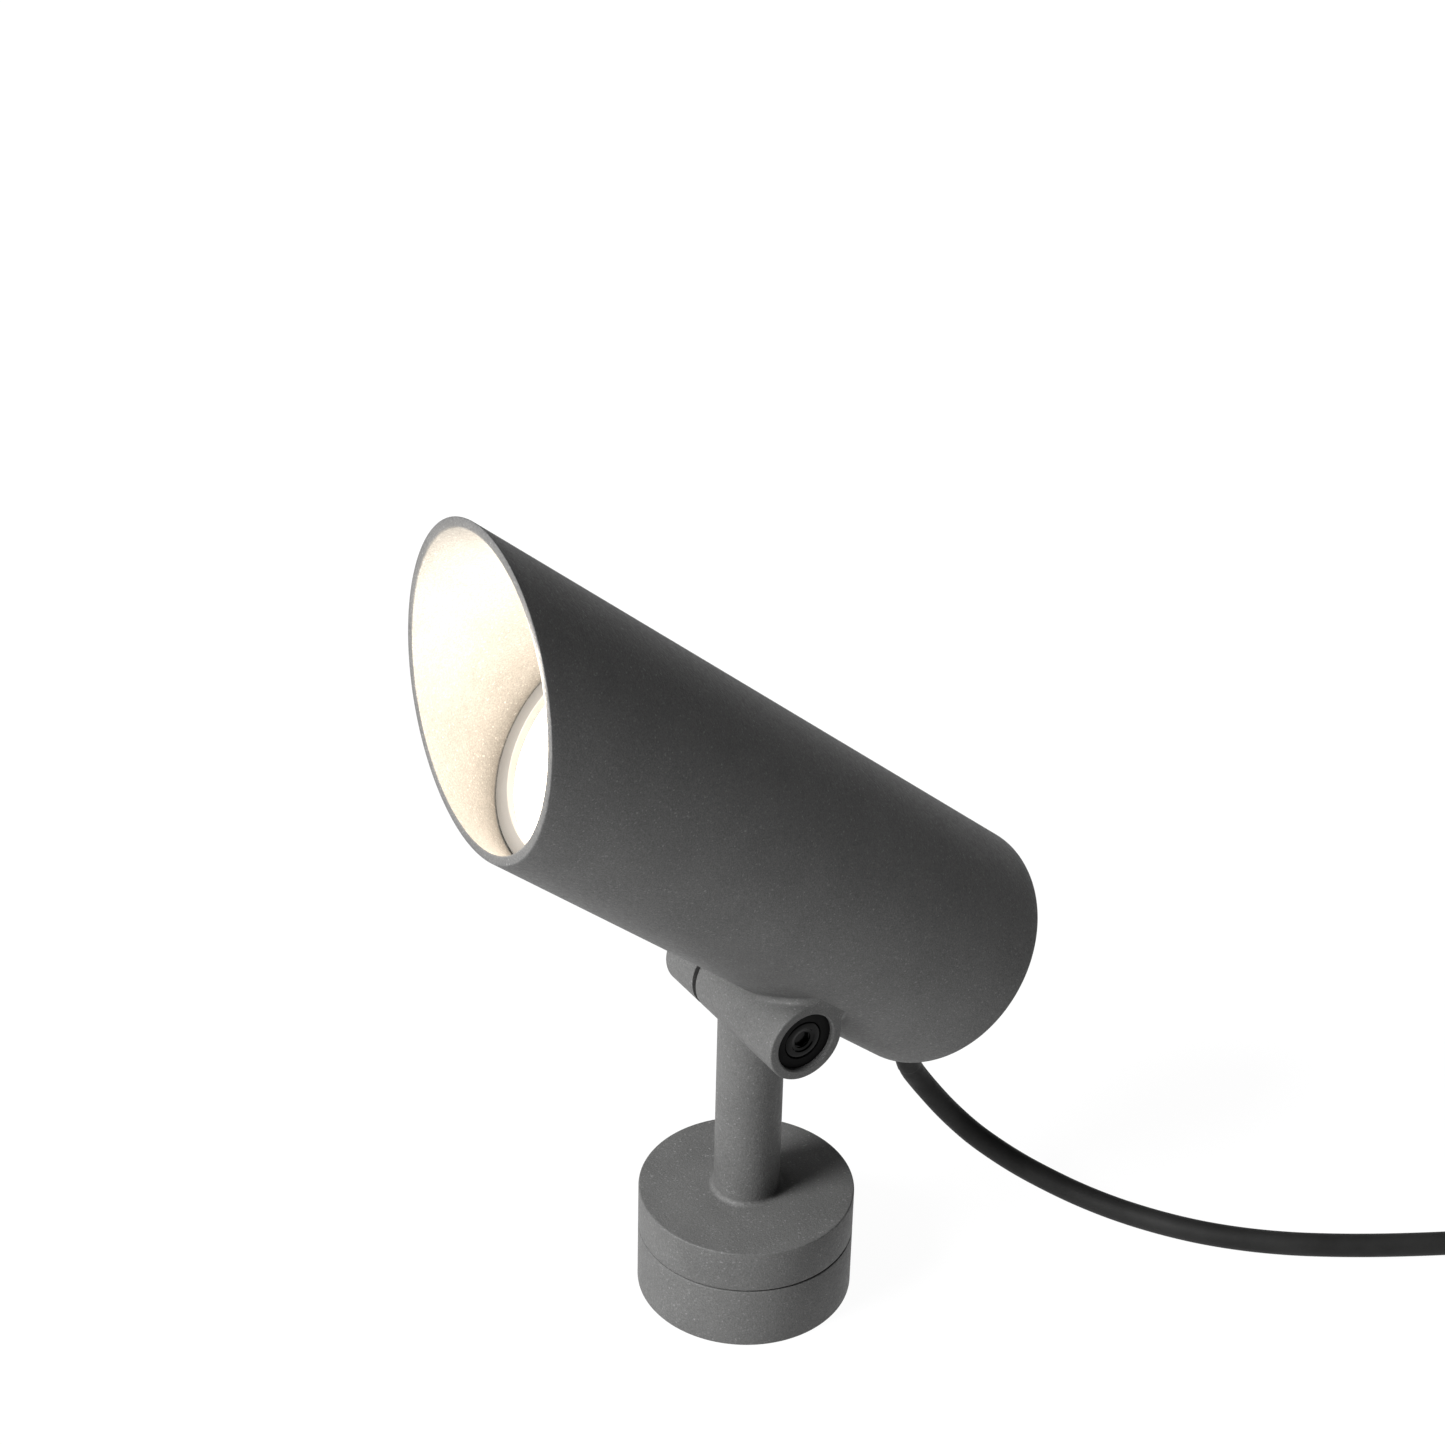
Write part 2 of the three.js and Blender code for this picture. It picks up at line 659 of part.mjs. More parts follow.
const TOP_LAYER = COIL_TOP - CORD_RADIUS;
const CONNECTOR_HEIGHT = COIL_TOP + GAP + CONNECTOR_RADIUS;
const RAMP_PART = 1 - ((Math.PI / 2) * TAIL_BEND) / TAIL_RISE; // share that is still on the coil

// The tail, from 0 to 1: it rises over the last quarter turn, turns in through a quarter circle
// and ends at the connector, which lies on the coil.
function tailPoint(part) {
  const outer = TURN_RADII[1];
  const inward = part > RAMP_PART;
  const quarter = Math.PI / 2;
  const turn = inward
    ? (quarter * (part - RAMP_PART)) / (1 - RAMP_PART)
    : (quarter * (part - RAMP_PART)) / RAMP_PART;
  const centre = inward ? outer - TAIL_BEND : 0;
  const radius = inward ? TAIL_BEND : outer;
  const angle = MEET_ANGLE + turn;
  const ramp = (1 - Math.cos(Math.PI * part)) / 2;
  return new THREE.Vector3(
    COIL_X + centre * Math.cos(MEET_ANGLE) + radius * Math.cos(angle),
    COIL_Y + centre * Math.sin(MEET_ANGLE) + radius * Math.sin(angle),
    TOP_LAYER + (CONNECTOR_HEIGHT - TOP_LAYER) * ramp,
  );
}

function cordTail() {
  const points = [];
  const steps = 8;
  for (let i = 0; i <= steps; i++) {
    points.push(tailPoint(RAMP_PART + ((1 - RAMP_PART) * i) / steps));
  }
  const onward = new THREE.Vector3(-Math.cos(MEET_ANGLE), -Math.sin(MEET_ANGLE), 0);
  points.push(points[steps].clone().addScaledVector(onward, TAIL_STRAIGHT - GAP));
  return tube(new THREE.CatmullRomCurve3(points, false, "centripetal"), CORD_RADIUS, 10, 12);
}

function makeConnector(group) {
  const place = new THREE.Group();
  const along = TURN_RADII[1] - TAIL_BEND - TAIL_STRAIGHT;
  place.position.set(
    COIL_X + along * Math.cos(MEET_ANGLE) - TAIL_BEND * Math.sin(MEET_ANGLE),
    COIL_Y + along * Math.sin(MEET_ANGLE) + TAIL_BEND * Math.cos(MEET_ANGLE),
    CONNECTOR_HEIGHT,
  );
  place.rotation.z = MEET_ANGLE;
  group.add(place);
  // its own Z points along the connector, away from the cord
  const connector = new THREE.Group();
  connector.rotation.y = -Math.PI / 2;
  place.add(connector);
  const nut = turned([[0, 0], [6, 0], [9, 3], [9, 12], [0, 12]], FINE);
  piece(connector, "connector_nut", nut, BLACK_PLASTIC);
  const body = disc(CONNECTOR_RADIUS, 12 + GAP, 40, FINE);
  piece(connector, "connector_body", body, BLACK_PLASTIC);
  const cap = turned([
    [0, 40 + GAP],
    [CONNECTOR_RADIUS, 40 + GAP],
    [CONNECTOR_RADIUS, 50],
    [CONNECTOR_RADIUS - 2, 52],
    [0, 52],
  ], FINE);
  piece(connector, "connector_cap", cap, BLACK_PLASTIC);
}

function coilTie() {
  const strap = COIL_LIFT - GAP;
  const top = COIL_TOP + GAP;
  const low = COIL_INNER - 1.4; // the turns' curve within the strap's width
  const high = COIL_OUTER + 0.6;
  const middle = (low + high) / 2;
  const window = high - low;
  const band = bar(middle, 0, (top + strap) / 2, window + 2 * strap, 14, top + strap);
  const hole = bar(middle, 0, (strap + top) / 2, window, 20, top - strap);
  return band.subtract(hole).rotate([0, 0, 200]).translate(COIL_X, COIL_Y, 0);
}

function makeCord() {
  const group = new THREE.Group();
  const meet = new THREE.Vector3(
    COIL_X + TURN_RADII[1] * Math.cos(MEET_ANGLE),
    COIL_Y + TURN_RADII[1] * Math.sin(MEET_ANGLE),
    COIL_LIFT + CORD_RADIUS,
  );
  const along = new THREE.Vector3(-Math.sin(MEET_ANGLE), Math.cos(MEET_ANGLE), 0);
  const points = ROUTE.map(([x, y, z]) => new THREE.Vector3(x, y, z));
  points.push(meet.clone().addScaledVector(along, -14));
  points.push(meet);
  const curve = new THREE.CatmullRomCurve3(points, false, "centripetal");
  const total = curve.getLength();
  piece(group, "strain_relief", relief(curve), RUBBER);
  // the free stretch ends before it would run into the coil's solid
  const clearance = Math.sqrt((COIL_OUTER + CORD_RADIUS) ** 2 - TURN_RADII[1] ** 2);
  const end = total - clearance - 5;
  const free = stretch(curve, RELIEF_LENGTH - 2, end, 40);
  const freeTube = tube(free, CORD_RADIUS, 10, 32);
  piece(group, "power_cord", trimmed(freeTube, curve, RELIEF_LENGTH + GAP, 1), RUBBER);
  piece(group, "cord_coil", coilSolid(), RUBBER);
  piece(group, "cord_tail", cordTail(), RUBBER);
  piece(group, "coil_tie", coilTie(), BLACK_PLASTIC);
  makeConnector(group);
  return group;
}

const spotlight = new THREE.Group();
spotlight.add(makeBase(), makePost(), makeHead(), makeCord());

export default spotlight;
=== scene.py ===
"""Garden spotlight on a two-disc base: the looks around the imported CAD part.

Pieces are modelled in millimetres and turned into metres as they are made. ROW is the frame the
CAD uses. HEAD has its origin on the hinge, with Z forward along the tube and Y up. AXIS is the same
on the tube's axis. OUTLET is the cable outlet at the head's rear. COIL is on the floor and CONNECTOR
lies on the coil.
"""

import json
import math

import bmesh
import bpy
from mathutils import Matrix, Vector


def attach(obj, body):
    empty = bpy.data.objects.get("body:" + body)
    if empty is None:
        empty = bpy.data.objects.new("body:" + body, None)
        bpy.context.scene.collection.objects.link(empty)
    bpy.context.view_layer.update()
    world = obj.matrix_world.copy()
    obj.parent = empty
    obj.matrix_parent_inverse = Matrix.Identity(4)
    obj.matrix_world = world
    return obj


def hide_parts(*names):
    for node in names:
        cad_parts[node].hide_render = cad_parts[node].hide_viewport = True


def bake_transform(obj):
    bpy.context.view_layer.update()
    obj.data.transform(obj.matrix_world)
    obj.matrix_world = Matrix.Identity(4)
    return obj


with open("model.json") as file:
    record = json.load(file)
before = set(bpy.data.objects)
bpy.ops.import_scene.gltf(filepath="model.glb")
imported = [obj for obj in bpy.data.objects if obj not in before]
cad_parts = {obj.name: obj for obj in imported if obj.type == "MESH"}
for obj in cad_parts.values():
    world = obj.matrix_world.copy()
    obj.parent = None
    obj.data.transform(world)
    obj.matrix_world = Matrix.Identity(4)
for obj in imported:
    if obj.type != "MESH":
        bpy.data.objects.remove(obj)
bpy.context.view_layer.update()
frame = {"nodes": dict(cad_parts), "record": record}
scene = bpy.context.scene

# ---------- the CAD's dimensions, in millimetres ----------
GAP = 0.3
BASE_RADIUS = 35
BASE_HEIGHT = 38
SEAM_HEIGHT = 22.7
SEAM_HALF = 0.25
BASE_WALL = 4.5
POST_RADIUS = 10.7
POST_FOOT_FILLET = 1.7
POST_FOOT = BASE_HEIGHT + 0.04
HINGE_HEIGHT = 114.5
KNUCKLE_RADIUS = 13.2
KNUCKLE_FAR = -12.6
KNUCKLE_BORE = 6.6
PIVOT_BORE = 4.3
EAR_INNER = 14.2
EAR_OUTER = 30
EAR_FILLET = 1.8
SOCKET_TURN = 14
BOLT_RADIUS = 4
BOLT_HEAD_RADIUS = 6.5
BOLT_HEAD_HEIGHT = 5
COUNTERBORE_RADIUS = 10
COUNTERBORE_DEPTH = 7
HEAD_TILT = 41.5
HEAD_OFFSET = 41.5
HEAD_RADIUS = 40.5
WALL = 2.6
INNER_RADIUS = HEAD_RADIUS - WALL
FRONT_TIP = 198.4
CUT_SLOPE = 0.83
REAR = -57.3
BEZEL_FACE = 114.7
GLASS_OPENING = 32.6
GLASS_RADIUS = 37.2
SCREW_CIRCLE = 31.5
OUTLET_DROP = -12
OUTLET_ANGLE = 135
OUTLET_BOSS = 8.7
OUTLET_BOSS_RADIUS = 9.8
OUTLET_LENGTH = 16.5
GLAND_END = -5
GLAND_RADIUS = 7
CORD_RADIUS = 3.9
CORD_BORE = CORD_RADIUS + GAP
RELIEF_LENGTH = 26
COIL_X = 111
COIL_Y = 291
COIL_LIFT = 1.2
TURN_RADII = (39, 47)
COIL_INNER = TURN_RADII[0] - CORD_RADIUS - GAP
COIL_OUTER = TURN_RADII[1] + CORD_RADIUS + GAP
COIL_TOP = COIL_LIFT + 4 * CORD_RADIUS + 0.1
TAIL_BEND = 32
TAIL_RISE = 124
TAIL_STRAIGHT = 6
CONNECTOR_RADIUS = 9.4
MEET_ANGLE = math.radians(-28)
LOW_LAYER = COIL_LIFT + CORD_RADIUS
TOP_LAYER = COIL_TOP - CORD_RADIUS
CONNECTOR_HEIGHT = COIL_TOP + GAP + CONNECTOR_RADIUS

# The cord's centreline from the outlet to the coil.
ROUTE = [
    (0, 63.5, 82.1), (0, 63.8, 77.1), (-1.3, 64, 71), (-3.3, 65, 62.4), (-4.6, 68, 55),
    (-5, 72, 48.5), (-4.3, 76.4, 41.8), (-2.6, 80.8, 35.3), (0.2, 85.4, 29.1), (4, 90.1, 23.5),
    (8.5, 94.9, 18.8), (13.7, 99.6, 14.9), (19.3, 104.2, 11.8), (30.8, 112.8, 7.5),
    (42.3, 120.8, 5.2), (54.3, 129.3, 4.2), (66.3, 138.8, 3.9), (77.2, 149.3, 3.9),
    (86.8, 160.7, 3.9), (95.4, 173, 3.9), (103.4, 185.9, 3.9), (110.9, 199.2, 3.9),
    (118.1, 212.8, 3.9), (125.2, 226.2, 3.9), (132.2, 239.4, 3.9),
]

# ---------- places ----------
ROW = Matrix.Scale(0.001, 4)
HEAD = (
    ROW
    @ Matrix.Translation((0, 0, HINGE_HEIGHT))
    @ Matrix.Rotation(math.radians(90 - HEAD_TILT), 4, "X")
)
AXIS = HEAD @ Matrix.Translation((0, HEAD_OFFSET, 0))
OUTLET_IN_TUBE = (
    Matrix.Translation((0, OUTLET_DROP, REAR))
    @ Matrix.Rotation(math.radians(OUTLET_ANGLE), 4, "X")
)
OUTLET = AXIS @ OUTLET_IN_TUBE
COIL = ROW @ Matrix.Translation((COIL_X, COIL_Y, 0))
ALONG_X = Matrix.Rotation(math.radians(90), 4, "Y")  # turns a lathe's Z into X
HEAD_HINGE = HEAD @ ALONG_X
CONNECTOR = (
    COIL
    @ Matrix.Rotation(MEET_ANGLE, 4, "Z")
    @ Matrix.Translation((TURN_RADII[1] - TAIL_BEND - TAIL_STRAIGHT, TAIL_BEND, CONNECTOR_HEIGHT))
    @ Matrix.Rotation(math.radians(-90), 4, "Y")
)


# ---------- camera ----------
def make_camera():
    yaw, pitch, roll = (math.radians(v) for v in (0.7443, 31.9695, 1.4041))
    forward = Vector(
        (-math.sin(yaw) * math.cos(pitch), math.cos(yaw) * math.cos(pitch), -math.sin(pitch))
    )
    level = Vector((math.cos(yaw), math.sin(yaw), 0))
    upright = level.cross(forward)
    right = math.cos(roll) * level + math.sin(roll) * upright
    up = math.cos(roll) * upright - math.sin(roll) * level
    basis = Matrix((right, up, -forward)).transposed().to_4x4()
    data = bpy.data.cameras.new("camera")
    data.sensor_width = 36
    data.lens = 86.62
    data.clip_start = 0.05
    camera = bpy.data.objects.new("camera", data)
    scene.collection.objects.link(camera)
    turn = Matrix.Rotation(math.radians(55.4526), 4, "Z")
    camera.matrix_world = turn @ Matrix.Translation((0, -0.87733, 0.76158)) @ basis
    scene.camera = camera


make_camera()


# ---------- node materials ----------
class Nodes:
    """A new node material, with short calls for the nodes that the finishes use."""

    def __init__(self, name):
        self.material = bpy.data.materials.new(name)
        self.material.use_nodes = True
        self.tree = self.material.node_tree
        self.shader = self.tree.nodes["Principled BSDF"]
        self.where = self.tree.nodes.new("ShaderNodeTexCoord").outputs["Object"]

    def add(self, kind, **settings):
        node = self.tree.nodes.new(kind)
        for key, value in settings.items():
            setattr(node, key, value)
        return node

    def link(self, source, target):
        self.tree.links.new(source, target)

    def set(self, **values):
        for key, value in values.items():
            self.shader.inputs[key.replace("_", " ")].default_value = value

    def noise(self, scale, detail=3, stretch=(1, 1, 1)):
        node = self.add("ShaderNodeTexNoise")
        node.inputs["Scale"].default_value = scale
        node.inputs["Detail"].default_value = detail
        if stretch != (1, 1, 1):
            mapping = self.add("ShaderNodeMapping")
            mapping.inputs["Scale"].default_value = stretch
            self.link(self.where, mapping.inputs["Vector"])
            self.link(mapping.outputs["Vector"], node.inputs["Vector"])
        else:
            self.link(self.where, node.inputs["Vector"])
        return node.outputs["Fac"]

    def cells(self, scale):
        node = self.add("ShaderNodeTexVoronoi")
        node.inputs["Scale"].default_value = scale
        self.link(self.where, node.inputs["Vector"])
        return node.outputs["Color"]

    def ramp(self, factor, stops):
        """A grey ramp between two (position, value) stops."""
        node = self.add("ShaderNodeValToRGB")
        for i, (position, value) in enumerate(stops):
            stop = node.color_ramp.elements[i]
            stop.position = position
            stop.color = (value, value, value, 1)
        self.link(factor, node.inputs["Fac"])
        return node.outputs["Color"]

    def mix(self, factor, first, second, blend="MIX"):
        node = self.add("ShaderNodeMix", data_type="RGBA", blend_type=blend)
        if isinstance(factor, (int, float)):
            node.inputs["Factor"].default_value = factor
        else:
            self.link(factor, node.inputs["Factor"])
        for source, socket in ((first, node.inputs["A"]), (second, node.inputs["B"])):
            if isinstance(source, tuple):
                socket.default_value = (*source, 1)
            else:
                self.link(source, socket)
        return node.outputs["Result"]

    def bump(self, height, depth, after=None):
        node = self.add("ShaderNodeBump")
        node.inputs["Strength"].default_value = 1
        node.inputs["Distance"].default_value = depth
        self.link(height, node.inputs["Height"])
        if after is not None:
            self.link(after, node.inputs["Normal"])
        return node.outputs["Normal"]

    def colour(self, source):
        self.link(source, self.shader.inputs["Base Color"])

    def rough(self, factor, low, high):
        self.link(self.ramp(factor, [(0.3, low), (0.7, high)]), self.shader.inputs["Roughness"])

    def normal(self, source):
        self.link(source, self.shader.inputs["Normal"])


def powder_coat(name, dark, light, fleck_and_glint):
    """Fine-textured powder paint: a soft orange peel, a fine grain and a few bright spots, the
    paint's lighter mica with painted glints of it in the colour.
    """
    n = Nodes(name)
    n.set(Metallic=0.0, Specular_IOR_Level=0.26)
    tone = n.mix(n.ramp(n.noise(55, 2), [(0.35, 0), (0.65, 1)]), dark, light)
    grain = n.ramp(n.noise(2000, 2), [(0.34, 0.82), (0.66, 1.18)])
    tone = n.mix(1.0, tone, grain, "MULTIPLY")
    # Bright spots in the colour: lighter mica in the paint, and painted glints of it.
    fleck_and_glint_spots = n.ramp(n.cells(2200), [(0.82, 0), (1.0, 1)])
    n.colour(n.mix(fleck_and_glint_spots, tone, fleck_and_glint))
    n.rough(n.noise(700, 2), 0.5, 0.64)
    peel = n.bump(n.noise(800, 3), 0.00014)
    n.normal(n.bump(n.noise(2000, 2), 0.00010, peel))
    return n.material


def moulded(name, dark, light, low=0.42, high=0.56, specular=0.5):
    """Moulded plastic with a fine spark-eroded grain."""
    n = Nodes(name)
    n.set(Metallic=0.0, Specular_IOR_Level=specular)
    n.colour(n.mix(n.noise(90, 3), dark, light))
    n.rough(n.noise(260, 3), low, high)
    n.normal(n.bump(n.noise(1900, 2), 0.00003))
    return n.material


def rubber(name, dark, light, low, high):
    """Matt rubber, a little dusty in places."""
    n = Nodes(name)
    n.set(Metallic=0.0, Specular_IOR_Level=0.14)
    dust = n.ramp(n.noise(38, 4), [(0.42, 0), (0.75, 1)])
    n.colour(n.mix(dust, dark, light))
    n.rough(n.noise(160, 3), low, high)
    fine = n.bump(n.noise(2200, 2), 0.00005)
    n.normal(n.bump(n.noise(300, 2), 0.0001, fine))
    return n.material


def metal(name, dark, light, low, high, stretch=(1, 1, 1)):
    """Bare metal, whose grain may be stretched."""
    n = Nodes(name)
    n.set(Metallic=1.0)
    grain = n.noise(400, 4, stretch)
    n.colour(n.mix(grain, dark, light))
    n.rough(n.noise(70, 3), low, high)
    n.normal(n.bump(grain, 0.00002))
    return n.material


def lit_glass(name):
    """The etched front glass, evenly bright while the lamp is on."""
    n = Nodes(name)
    n.set(Metallic=0.0, Emission_Strength=1.6)
    n.colour(n.mix(n.noise(60, 2), (0.86, 0.84, 0.78), (0.92, 0.90, 0.86)))
    n.rough(n.noise(500, 2), 0.18, 0.26)
    glow = n.mix(n.noise(25, 2), (1.0, 0.90, 0.74), (1.0, 0.93, 0.80))
    n.link(glow, n.shader.inputs["Emission Color"])
    n.normal(n.bump(n.noise(1800, 2), 0.00001))
    return n.material


COAT = powder_coat("anthracite_powder_coat", (0.0785, 0.0785, 0.0775), (0.088, 0.088, 0.0868),
                   (0.17, 0.17, 0.17))
# The rim gets a lighter coat than the rest: painted glow of the lamp's light on the slanted rim.
RIM_COAT_PAINTED_GLOW = powder_coat("rim_coat_painted_glow", (0.100, 0.100, 0.099), (0.118, 0.117, 0.116),
                       (0.23, 0.23, 0.23))
BLACK = moulded("black_moulded_plastic", (0.010, 0.010, 0.010), (0.017, 0.017, 0.018))
COLLAR_BLACK = moulded("black_collar_plastic", (0.006, 0.006, 0.006), (0.009, 0.009, 0.009),
                       0.55, 0.7, specular=0.03)
BLACK_OXIDE = metal("black_oxide_steel", (0.007, 0.007, 0.007), (0.012, 0.012, 0.012), 0.18, 0.26)
CORD_RUBBER = rubber("cord_rubber", (0.010, 0.010, 0.0098), (0.018, 0.018, 0.0177), 0.52, 0.64)
SEAL_RUBBER = rubber("seal_rubber", (0.013, 0.013, 0.013), (0.024, 0.024, 0.025), 0.6, 0.75)
STEEL = metal("stainless_steel", (0.50, 0.50, 0.51), (0.62, 0.62, 0.63), 0.26, 0.38)
CAST = metal("bare_aluminium", (0.66, 0.66, 0.67), (0.78, 0.78, 0.79), 0.32, 0.48)
BEZEL = moulded("grey_bezel_coat", (0.072, 0.073, 0.074), (0.086, 0.087, 0.088), 0.4, 0.5)
SPUN = metal("spun_reflector", (0.84, 0.84, 0.84), (0.92, 0.92, 0.92), 0.1, 0.18, (1, 1, 6))
BRONZE = metal("sintered_bronze", (0.50, 0.31, 0.13), (0.66, 0.43, 0.20), 0.4, 0.55)
WHITE = moulded("white_moulded_plastic", (0.74, 0.73, 0.70), (0.82, 0.81, 0.78), 0.38, 0.5)
PHOSPHOR = moulded("phosphor", (0.86, 0.66, 0.16), (0.93, 0.74, 0.22), 0.4, 0.5)
BOARD_WHITE = moulded("white_solder_mask", (0.80, 0.80, 0.78), (0.86, 0.86, 0.84), 0.3, 0.4)
BOARD_GREEN = moulded("green_solder_mask", (0.02, 0.13, 0.05), (0.03, 0.17, 0.07), 0.28, 0.36)
GLASS = lit_glass("lit_front_glass")
CORE_BROWN = moulded("brown_core", (0.16, 0.06, 0.03), (0.21, 0.09, 0.04), 0.34, 0.44)
CORE_BLUE = moulded("blue_core", (0.03, 0.10, 0.40), (0.04, 0.13, 0.47), 0.34, 0.44)
CORE_GREEN = moulded("green_yellow_core", (0.25, 0.42, 0.05), (0.50, 0.52, 0.06), 0.34, 0.44)
CORE_RED = moulded("red_core", (0.42, 0.025, 0.02), (0.50, 0.04, 0.03), 0.34, 0.44)

SLOT_FINISH = {
    "coat": COAT,
    "steel": STEEL,
    "black_plastic": BLACK,
    "rubber": SEAL_RUBBER,
    "bare_aluminium": CAST,
    "bronze": BRONZE,
    "tempered_glass": GLASS,
    "white_plastic": WHITE,
    "phosphor": PHOSPHOR,
    "board_white": BOARD_WHITE,
    "board_green": BOARD_GREEN,
    "wire_brown": CORE_BROWN,
    "wire_blue": CORE_BLUE,
    "wire_green": CORE_GREEN,
    "wire_red": CORE_RED,
    "wire_black": BLACK,
}
NODE_FINISH = {"reflector": SPUN}

for part in frame["record"]["subparts"]:
    node = frame["nodes"][part["node"]]
    node.data.materials.clear()
    finish = NODE_FINISH.get(part["node"], SLOT_FINISH[part["material_slot"]])
    node.data.materials.append(finish)


# ---------- mesh tools ----------
def outline(corners, steps=5):
    """A closed section from (r, z, fillet) corners, each rounded by its fillet."""
    points = []
    count = len(corners)
    for i, (r, z, fillet) in enumerate(corners):
        here = Vector((r, z))
        if not fillet:
            points.append(here)
            continue
        before = (Vector(corners[i - 1][:2]) - here).normalized()
        after = (Vector(corners[(i + 1) % count][:2]) - here).normalized()
        half = before.angle(after) / 2
        reach = fillet / math.tan(half)
        centre = here + (before + after).normalized() * fillet / math.sin(half)
        start = here + before * reach - centre
        end = here + after * reach - centre
        whole = -start.angle_signed(end)
        for k in range(steps + 1):
            points.append(centre + Matrix.Rotation(whole * k / steps, 2) @ start)
    return points


def faces_between(bm, first, second):
    """Joins two closed loops of vertices. Faces that would fold to a line are left out."""
    count = len(first)
    for i in range(count):
        ring = [first[i], first[(i + 1) % count], second[(i + 1) % count], second[i]]
        unique = list(dict.fromkeys(ring))
        if len(unique) > 2:
            bm.faces.new(unique)


def lathe(section, segments=160, wave=None):
    """A closed section of (r, z) turned about Z. wave(angle, r, z) may change a point's radius."""
    bm = bmesh.new()
    poles = {i: bm.verts.new((0, 0, p[1])) for i, p in enumerate(section) if abs(p[0]) < 1e-6}
    rings = []
    for s in range(segments):
        angle = 2 * math.pi * s / segments
        ring = []
        for i, (r, z) in enumerate(section):
            if i in poles:
                ring.append(poles[i])
                continue
            radius = wave(angle, r, z) if wave else r
            ring.append(bm.verts.new((radius * math.cos(angle), radius * math.sin(angle), z)))
        rings.append(ring)
    for s in range(segments):
        first, second = rings[s], rings[(s + 1) % segments]
        count = len(section)
        for i in range(count):
            j = (i + 1) % count
            if i in poles and j in poles:
                continue
            corner = [first[i], first[j], second[j], second[i]]
            bm.faces.new(list(dict.fromkeys(corner)))
    bmesh.ops.recalc_face_normals(bm, faces=bm.faces)
    return bm


def prism(loops):
    """A closed body through loops of points, capped at both ends."""
    bm = bmesh.new()
    rings = [[bm.verts.new(p) for p in loop] for loop in loops]
    for first, second in zip(rings, rings[1:]):
        faces_between(bm, first, second)
    bm.faces.new(rings[0])
    bm.faces.new(rings[-1])
    bmesh.ops.recalc_face_normals(bm, faces=bm.faces)
    return bm


def sweep(path, radius, sides, end_round):
    """A tube along path. radius is a number or a function of the length run so far."""
    bm = bmesh.new()
    rings = []
    run = 0.0
    side = None
    for i, point in enumerate(path):
        ahead = path[min(i + 1, len(path) - 1)]
        behind = path[max(i - 1, 0)]
        tangent = (ahead - behind).normalized()
        if side is None:
            side = tangent.orthogonal().normalized()
        side = (side - tangent * side.dot(tangent)).normalized()
        other = tangent.cross(side)
        if i:
            run += (point - path[i - 1]).length
        size = radius(run) if callable(radius) else radius
        if i in (0, len(path) - 1):
            size -= end_round
        ring = []
        for k in range(sides):
            angle = 2 * math.pi * k / sides
            around = side * math.cos(angle) + other * math.sin(angle)
            ring.append(bm.verts.new(point + around * size))
        rings.append(ring)
    for first, second in zip(rings, rings[1:]):
        faces_between(bm, first, second)
    bm.faces.new(rings[0])
    bm.faces.new(rings[-1])
    bmesh.ops.recalc_face_normals(bm, faces=bm.faces)
    return bm


def mark_sharp(bm, degrees):
    """Smooth shading, except over edges that turn by more than that."""
    limit = math.radians(degrees)
    for face in bm.faces:
        face.smooth = True
    for edge in bm.edges:
        edge.smooth = len(edge.link_faces) == 2 and edge.calc_face_angle(0) < limit


def raw_object(bm, name="raw"):
    mesh = bpy.data.meshes.new(name)
    bm.to_mesh(mesh)
    bm.free()
    obj = bpy.data.objects.new(name, mesh)
    scene.collection.objects.link(obj)
    return obj


def combine(bm, others, operation):
    """bm after a boolean with each of the others. All of them are used up."""
    target = raw_object(bm)
    for other in others:
        tool = raw_object(other, "tool")
        step = target.modifiers.new("step", "BOOLEAN")
        step.operation = operation
        step.solver = "MANIFOLD"
        step.object = tool
        bpy.context.view_layer.update()
        result = bpy.data.meshes.new_from_object(
            target.evaluated_get(bpy.context.evaluated_depsgraph_get())
        )
        target.modifiers.clear()
        target.data = result
        bpy.data.objects.remove(tool)
    out = bmesh.new()
    out.from_mesh(target.data)
    bpy.data.objects.remove(target)
    return out


def add_piece(name, bm, place, material, body, stands_for, sharp=32):
    """Finishes bm as a piece in metres that rides on a body, unless body is None."""
    bm.transform(place)
    bmesh.ops.recalc_face_normals(bm, faces=bm.faces)
    mark_sharp(bm, sharp)
    obj = raw_object(bm, name)
    obj.data.materials.append(material)
    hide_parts(*stands_for)
    if body:
        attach(obj, body)
    return obj


def moved(bm, x=0.0, y=0.0, z=0.0):
    bm.transform(Matrix.Translation((x, y, z)))
    return bm


def turned(bm, matrix):
    bm.transform(matrix)
    return bm


def rod(radius, low, high, edge=0.4, segments=96):
    corners = [(0, low, 0), (radius, low, edge), (radius, high, edge), (0, high, 0)]
    return lathe(outline(corners, 3), segments)


def plain_rod(radius, low, high, segments=96):
    return lathe([(0, low), (radius, low), (radius, high), (0, high)], segments)


def hex_rod(width, low, high):
    """A hexagon bar of that width across flats."""
    corner = width / math.sqrt(3)
    angles = [2 * math.pi * k / 6 for k in range(6)]
    return prism([
        [(corner * math.cos(a), corner * math.sin(a), z) for a in angles] for z in (low, high)
    ])


